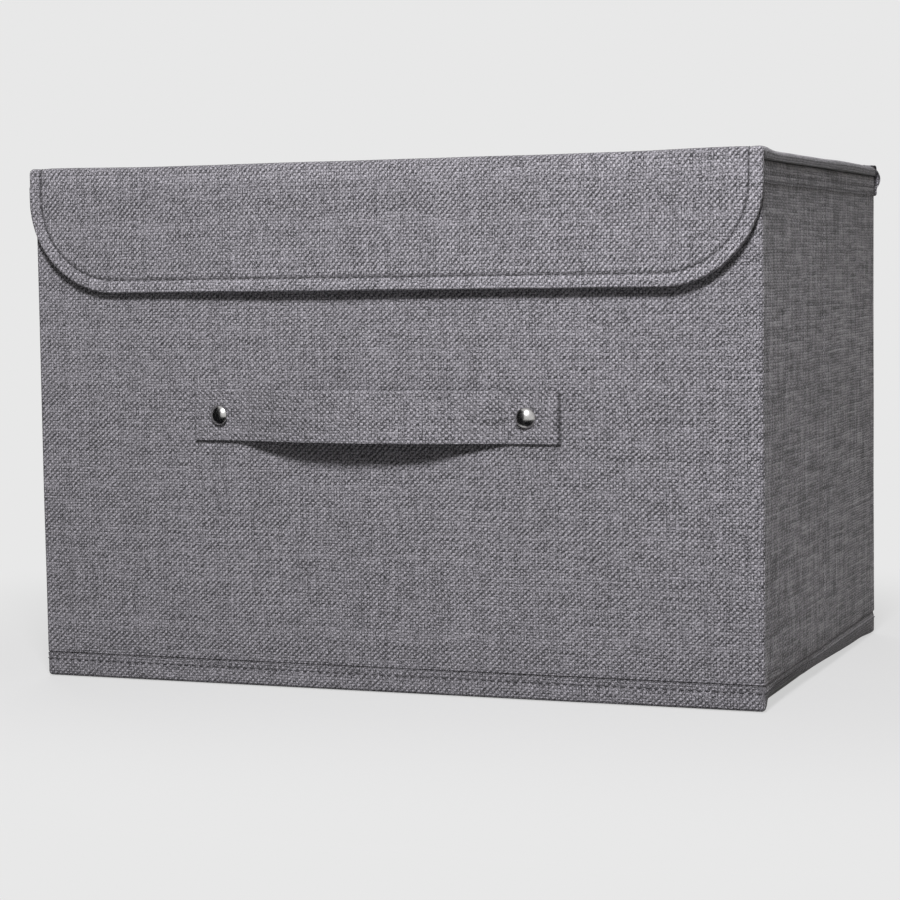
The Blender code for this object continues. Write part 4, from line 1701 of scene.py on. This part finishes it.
def build_rivets():
    """Each rivet: a domed cap on a rolled rim, its post, and the set flat back inside the wall."""
    tilt = bpy.context.scene.box_fittings.cap_tilt
    for side, sign in reversed(SIDES):
        node = f"rivet_stud_{side}"
        lower, upper = node_boxes[node]
        radius = (upper.x - lower.x) / 2 + CAP_LAP
        x = middle(node).x
        face = strap_place(x, strap_middle.z, 0.0)[1] - CAP_STAND
        turn = Matrix.Rotation(sign * tilt, 4, "Z") @ Matrix.Rotation(math.pi / 2, 4, "X")
        profile = cap_profile(radius, face - upper.y)
        cap = turned_piece(f"rivet_{side}", profile, (x, face, strap_middle.z), turn)
        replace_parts(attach(cap, "front_wall"), node)
        node = f"rivet_back_{side}"
        lower, upper = node_boxes[node]
        profile = washer_profile((upper.x - lower.x) / 2, upper.y - lower.y)
        centre = (middle(node).x, lower.y, middle(node).z)
        turn = Matrix.Rotation(-math.pi / 2, 4, "X")
        back = turned_piece(f"rivet_washer_{side}", profile, centre, turn, closed=True)
        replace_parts(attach(back, "front_wall"), node)


# Stage

CAMERA_PLACE = (0.455851, -1.221368, 0.2075636)
CAMERA_YAW = 0.3675387
CAMERA_PITCH = 0.0747040
CAMERA_ROLL = -0.0146317
CAMERA_LENS = 97.284

FLOOR_RADIUS = 40.0
FLOOR_GAP = 0.0004
# The floor's paper has this share beside the box, and gives way to the backdrop over a distance
PAPER_FADE = 0.30
PAPER_SHARE = 0.28

LAMP_TARGET = (0, 0, 0.13)
# Parts of the dark card: first and last bearing in degrees, nearest, farthest, height
DARK_PARTS = ((-118, 0, 0.165, 1.9, 3.0), (0, 78, 0.165, 0.55, 0.0))
DARK_STEPS = 24


def build_camera():
    yaw, pitch, roll = CAMERA_YAW, CAMERA_PITCH, CAMERA_ROLL
    ahead = Vector(
        (-math.sin(yaw) * math.cos(pitch), math.cos(yaw) * math.cos(pitch), -math.sin(pitch))
    )
    right = Vector((math.cos(yaw), math.sin(yaw), 0))
    up = right.cross(ahead)
    rolled_right = math.cos(roll) * right + math.sin(roll) * up
    rolled_up = -math.sin(roll) * right + math.cos(roll) * up
    data = bpy.data.cameras.new("camera")
    data.lens = CAMERA_LENS
    data.sensor_width = 36.0
    data.clip_start = 0.01
    data.clip_end = 60.0
    camera = add_object("camera", data)
    turn = Matrix((rolled_right, rolled_up, -ahead)).transposed().to_4x4()
    camera.matrix_world = Matrix.Translation(CAMERA_PLACE) @ turn
    bpy.context.scene.camera = camera


def seen_ray(nodes):
    """1 for rays that show what is there: from the camera, or by way of metal or glass."""
    path = nodes.add("LightPath").outputs
    shown = nodes.math("MAXIMUM", path["Is Camera Ray"], path["Is Glossy Ray"])
    return nodes.math("MAXIMUM", shown, path["Is Transmission Ray"])


def build_world():
    stage = bpy.context.scene.box_stage
    world = bpy.data.worlds.new("studio")
    world.use_nodes = True
    nodes = Nodes(world.node_tree)
    world.node_tree.nodes.clear()
    fill = nodes.add("Background", {"Color": (1.0, 0.98, 0.94, 1.0), "Strength": stage.fill})
    shown = nodes.add("Background", {"Color": tinted(stage.background), "Strength": 1.0})
    nodes.add("OutputWorld", {"Surface": nodes.two_shaders(seen_ray(nodes), fill, shown)})
    bpy.context.scene.world = world


def build_floor():
    """A wide round floor that takes the box's shadow and fades into the backdrop."""
    stage = bpy.context.scene.box_stage
    nodes, paper = plain_material("floor_paper")
    place = nodes.add("NewGeometry").outputs["Position"]
    shade = nodes.ease(nodes.noise(place, 300.0), 0.2, 0.8, 0.985, 1.015)
    seen = nodes.shaded(tinted(stage.floor), shade)
    lit = nodes.mix(seen_ray(nodes), tinted(stage.floor, 0.45), seen)
    nodes.feed(paper.inputs["Base Color"], lit)
    paper.inputs["Roughness"].default_value = 0.95
    paper.inputs["Specular IOR Level"].default_value = 0.1
    glow = nodes.add("Emission", {"Color": tinted(stage.background), "Strength": 1.0})
    sides = nodes.vector_math("ABSOLUTE", place)
    beyond = nodes.vector_math("SUBTRACT", sides, (half_width, half_depth, 1.0))
    beyond = nodes.vector_math("MAXIMUM", beyond)
    away = nodes.vector_math("LENGTH", beyond, result="Value")
    faded = nodes.ease(away, 0.0, PAPER_FADE, 1 - PAPER_SHARE, 1.0)
    both = nodes.two_shaders(nodes.times(faded, seen_ray(nodes)), paper, glow)
    nodes.feed(nodes.tree.nodes["Material Output"].inputs["Surface"], both)
    bm = bmesh.new()
    bmesh.ops.create_circle(bm, cap_ends=True, segments=96, radius=FLOOR_RADIUS)
    floor = add_object("floor", mesh_from(bm, "floor", "floor_paper"))
    floor.location.z = -FLOOR_GAP


def add_lamp(name, place, size, power, tone):
    data = bpy.data.lights.new(name, "AREA")
    data.shape = "RECTANGLE"
    data.size, data.size_y = size
    data.energy = power
    data.color = tone
    lamp = add_object(name, data)
    lamp.location = place
    turn = (Vector(LAMP_TARGET) - Vector(place)).to_track_quat("-Z", "Y")
    lamp.rotation_euler = turn.to_euler()
    lamp.visible_camera = False


def build_stage():
    stage = bpy.context.scene.box_stage
    bpy.context.scene.view_settings.view_transform = "Standard"
    build_camera()
    build_world()
    build_floor()
    warm, cool, plain = (1.0, 0.94, 0.78), (1.0, 0.99, 1.02), (1.0, 1.0, 1.0)
    add_lamp("key", (0.29, -0.95, 0.97), (0.22, 0.22), stage.key_power, cool)
    add_lamp("side", (0.80, 0.10, 0.08), (0.50, 0.12), stage.side_power, warm)
    add_lamp("rear", (-1.10, 1.90, 1.50), (1.60, 1.20), stage.rear_power, plain)
    build_dark_card()


def build_dark_card():
    """The dark front of the room, which only polished metal shows."""
    shader = plain_material("dark_room")[1]
    shader.inputs["Base Color"].default_value = (0.006, 0.006, 0.007, 1.0)
    shader.inputs["Roughness"].default_value = 1.0
    shader.inputs["Specular IOR Level"].default_value = 0.0
    bm = bmesh.new()
    for first, last, near, far, height in DARK_PARTS:
        rows = []
        for step in range(DARK_STEPS + 1):
            angle = math.radians(first + (last - first) * step / DARK_STEPS)
            x, y = math.sin(angle), -math.cos(angle)
            spots = [(near * x, near * y, 0.001), (far * x, far * y, 0.001)]
            if height:
                spots.append((far * x, far * y, height))
            rows.append([bm.verts.new(spot) for spot in spots])
        for one, two in zip(rows, rows[1:]):
            for level in range(len(one) - 1):
                bm.faces.new((one[level], two[level], two[level + 1], one[level + 1]))
    card = add_object("dark_card", mesh_from(bm, "dark_card", "dark_room"))
    card.visible_camera = False
    card.visible_diffuse = False
    card.visible_shadow = False


# Operators


class BOX_OT_materials(Operator):
    """Makes the cloth, lining, board, thread and nickel"""

    bl_idname = "storage_box.materials"
    bl_label = "Materials"
    bl_options = {"UNDO"}

    def execute(self, context):
        build_weave_group()
        build_lining_group()
        build_board_group()
        build_polish_group()
        build_twist_group()
        build_materials()
        return {"FINISHED"}


class BOX_OT_walls(Operator):
    """Covers the walls, their corners and their creases with cloth"""

    bl_idname = "storage_box.walls"
    bl_label = "Wall Cloth"
    bl_options = {"UNDO"}

    def execute(self, context):
        build_walls()
        return {"FINISHED"}


class BOX_OT_foot(Operator):
    """Makes the bottom cloth with its turned-up edge"""

    bl_idname = "storage_box.foot"
    bl_label = "Bottom Cloth"
    bl_options = {"UNDO"}

    def execute(self, context):
        build_foot()
        return {"FINISHED"}


class BOX_OT_linings(Operator):
    """Closes the inside of each wall with lining"""

    bl_idname = "storage_box.linings"
    bl_label = "Wall Linings"
    bl_options = {"UNDO"}

    def execute(self, context):
        build_linings()
        return {"FINISHED"}


class BOX_OT_boards(Operator):
    """Gives the boards their pulp"""

    bl_idname = "storage_box.boards"
    bl_label = "Boards"
    bl_options = {"UNDO"}

    def execute(self, context):
        build_boards()
        return {"FINISHED"}


class BOX_OT_base(Operator):
    """Makes the base board's sleeve and its pull tab"""

    bl_idname = "storage_box.base"
    bl_label = "Base"
    bl_options = {"UNDO"}

    def execute(self, context):
        build_base()
        return {"FINISHED"}


class BOX_OT_lid(Operator):
    """Makes the lid's cloth, its nose and its lining"""

    bl_idname = "storage_box.lid"
    bl_label = "Lid"
    bl_options = {"UNDO"}

    def execute(self, context):
        build_lid()
        return {"FINISHED"}


class BOX_OT_flap(Operator):
    """Makes the flap with its round corners and topstitching"""

    bl_idname = "storage_box.flap"
    bl_label = "Flap"
    bl_options = {"UNDO"}

    def execute(self, context):
        build_flap()
        return {"FINISHED"}


class BOX_OT_hinge_tape(Operator):
    """Makes the cloth hinge behind the lid"""

    bl_idname = "storage_box.hinge_tape"
    bl_label = "Hinge Tape"
    bl_options = {"UNDO"}

    def execute(self, context):
        build_hinge_tape()
        return {"FINISHED"}


class BOX_OT_strap(Operator):
    """Makes the bulged strap handle"""

    bl_idname = "storage_box.strap"
    bl_label = "Strap"
    bl_options = {"UNDO"}

    def execute(self, context):
        build_strap()
        return {"FINISHED"}


class BOX_OT_rivets(Operator):
    """Makes the rivets' caps, posts and backs"""

    bl_idname = "storage_box.rivets"
    bl_label = "Rivets"
    bl_options = {"UNDO"}

    def execute(self, context):
        build_rivets()
        return {"FINISHED"}


class BOX_OT_stage(Operator):
    """Sets up the floor, backdrop, light and camera"""

    bl_idname = "storage_box.stage"
    bl_label = "Stage"
    bl_options = {"UNDO"}

    def execute(self, context):
        build_stage()
        return {"FINISHED"}


OPERATORS = (
    BOX_OT_materials,
    BOX_OT_walls,
    BOX_OT_foot,
    BOX_OT_linings,
    BOX_OT_boards,
    BOX_OT_base,
    BOX_OT_lid,
    BOX_OT_flap,
    BOX_OT_hinge_tape,
    BOX_OT_strap,
    BOX_OT_rivets,
    BOX_OT_stage,
)

GROUPS = {
    "box_cloth": ClothSettings,
    "box_walls": WallSettings,
    "box_lid": LidSettings,
    "box_fittings": FittingSettings,
    "box_stage": StageSettings,
}


class BOX_PT_storage_box(Panel):
    """Lists the sizes, the colours and the steps of the storage box"""

    bl_label = "Storage Box"
    bl_idname = "BOX_PT_storage_box"
    bl_space_type = "VIEW_3D"
    bl_region_type = "UI"
    bl_category = "Storage Box"

    def draw(self, context):
        layout = self.layout
        for name in GROUPS:
            box = layout.box()
            group = getattr(context.scene, name)
            for prop in group.__annotations__:
                box.prop(group, prop)
        for operator in OPERATORS:
            layout.operator(operator.bl_idname)


CLASSES = (*GROUPS.values(), *OPERATORS, BOX_PT_storage_box)


def register():
    for cls in CLASSES:
        bpy.utils.register_class(cls)
    for name, group in GROUPS.items():
        setattr(bpy.types.Scene, name, PointerProperty(type=group))


def unregister():
    for name in GROUPS:
        delattr(bpy.types.Scene, name)
    for cls in reversed(CLASSES):
        bpy.utils.unregister_class(cls)


def main():
    register()
    for operator in OPERATORS:
        module, name = operator.bl_idname.split(".")
        getattr(getattr(bpy.ops, module), name)()


if __name__ == "__main__":
    main()
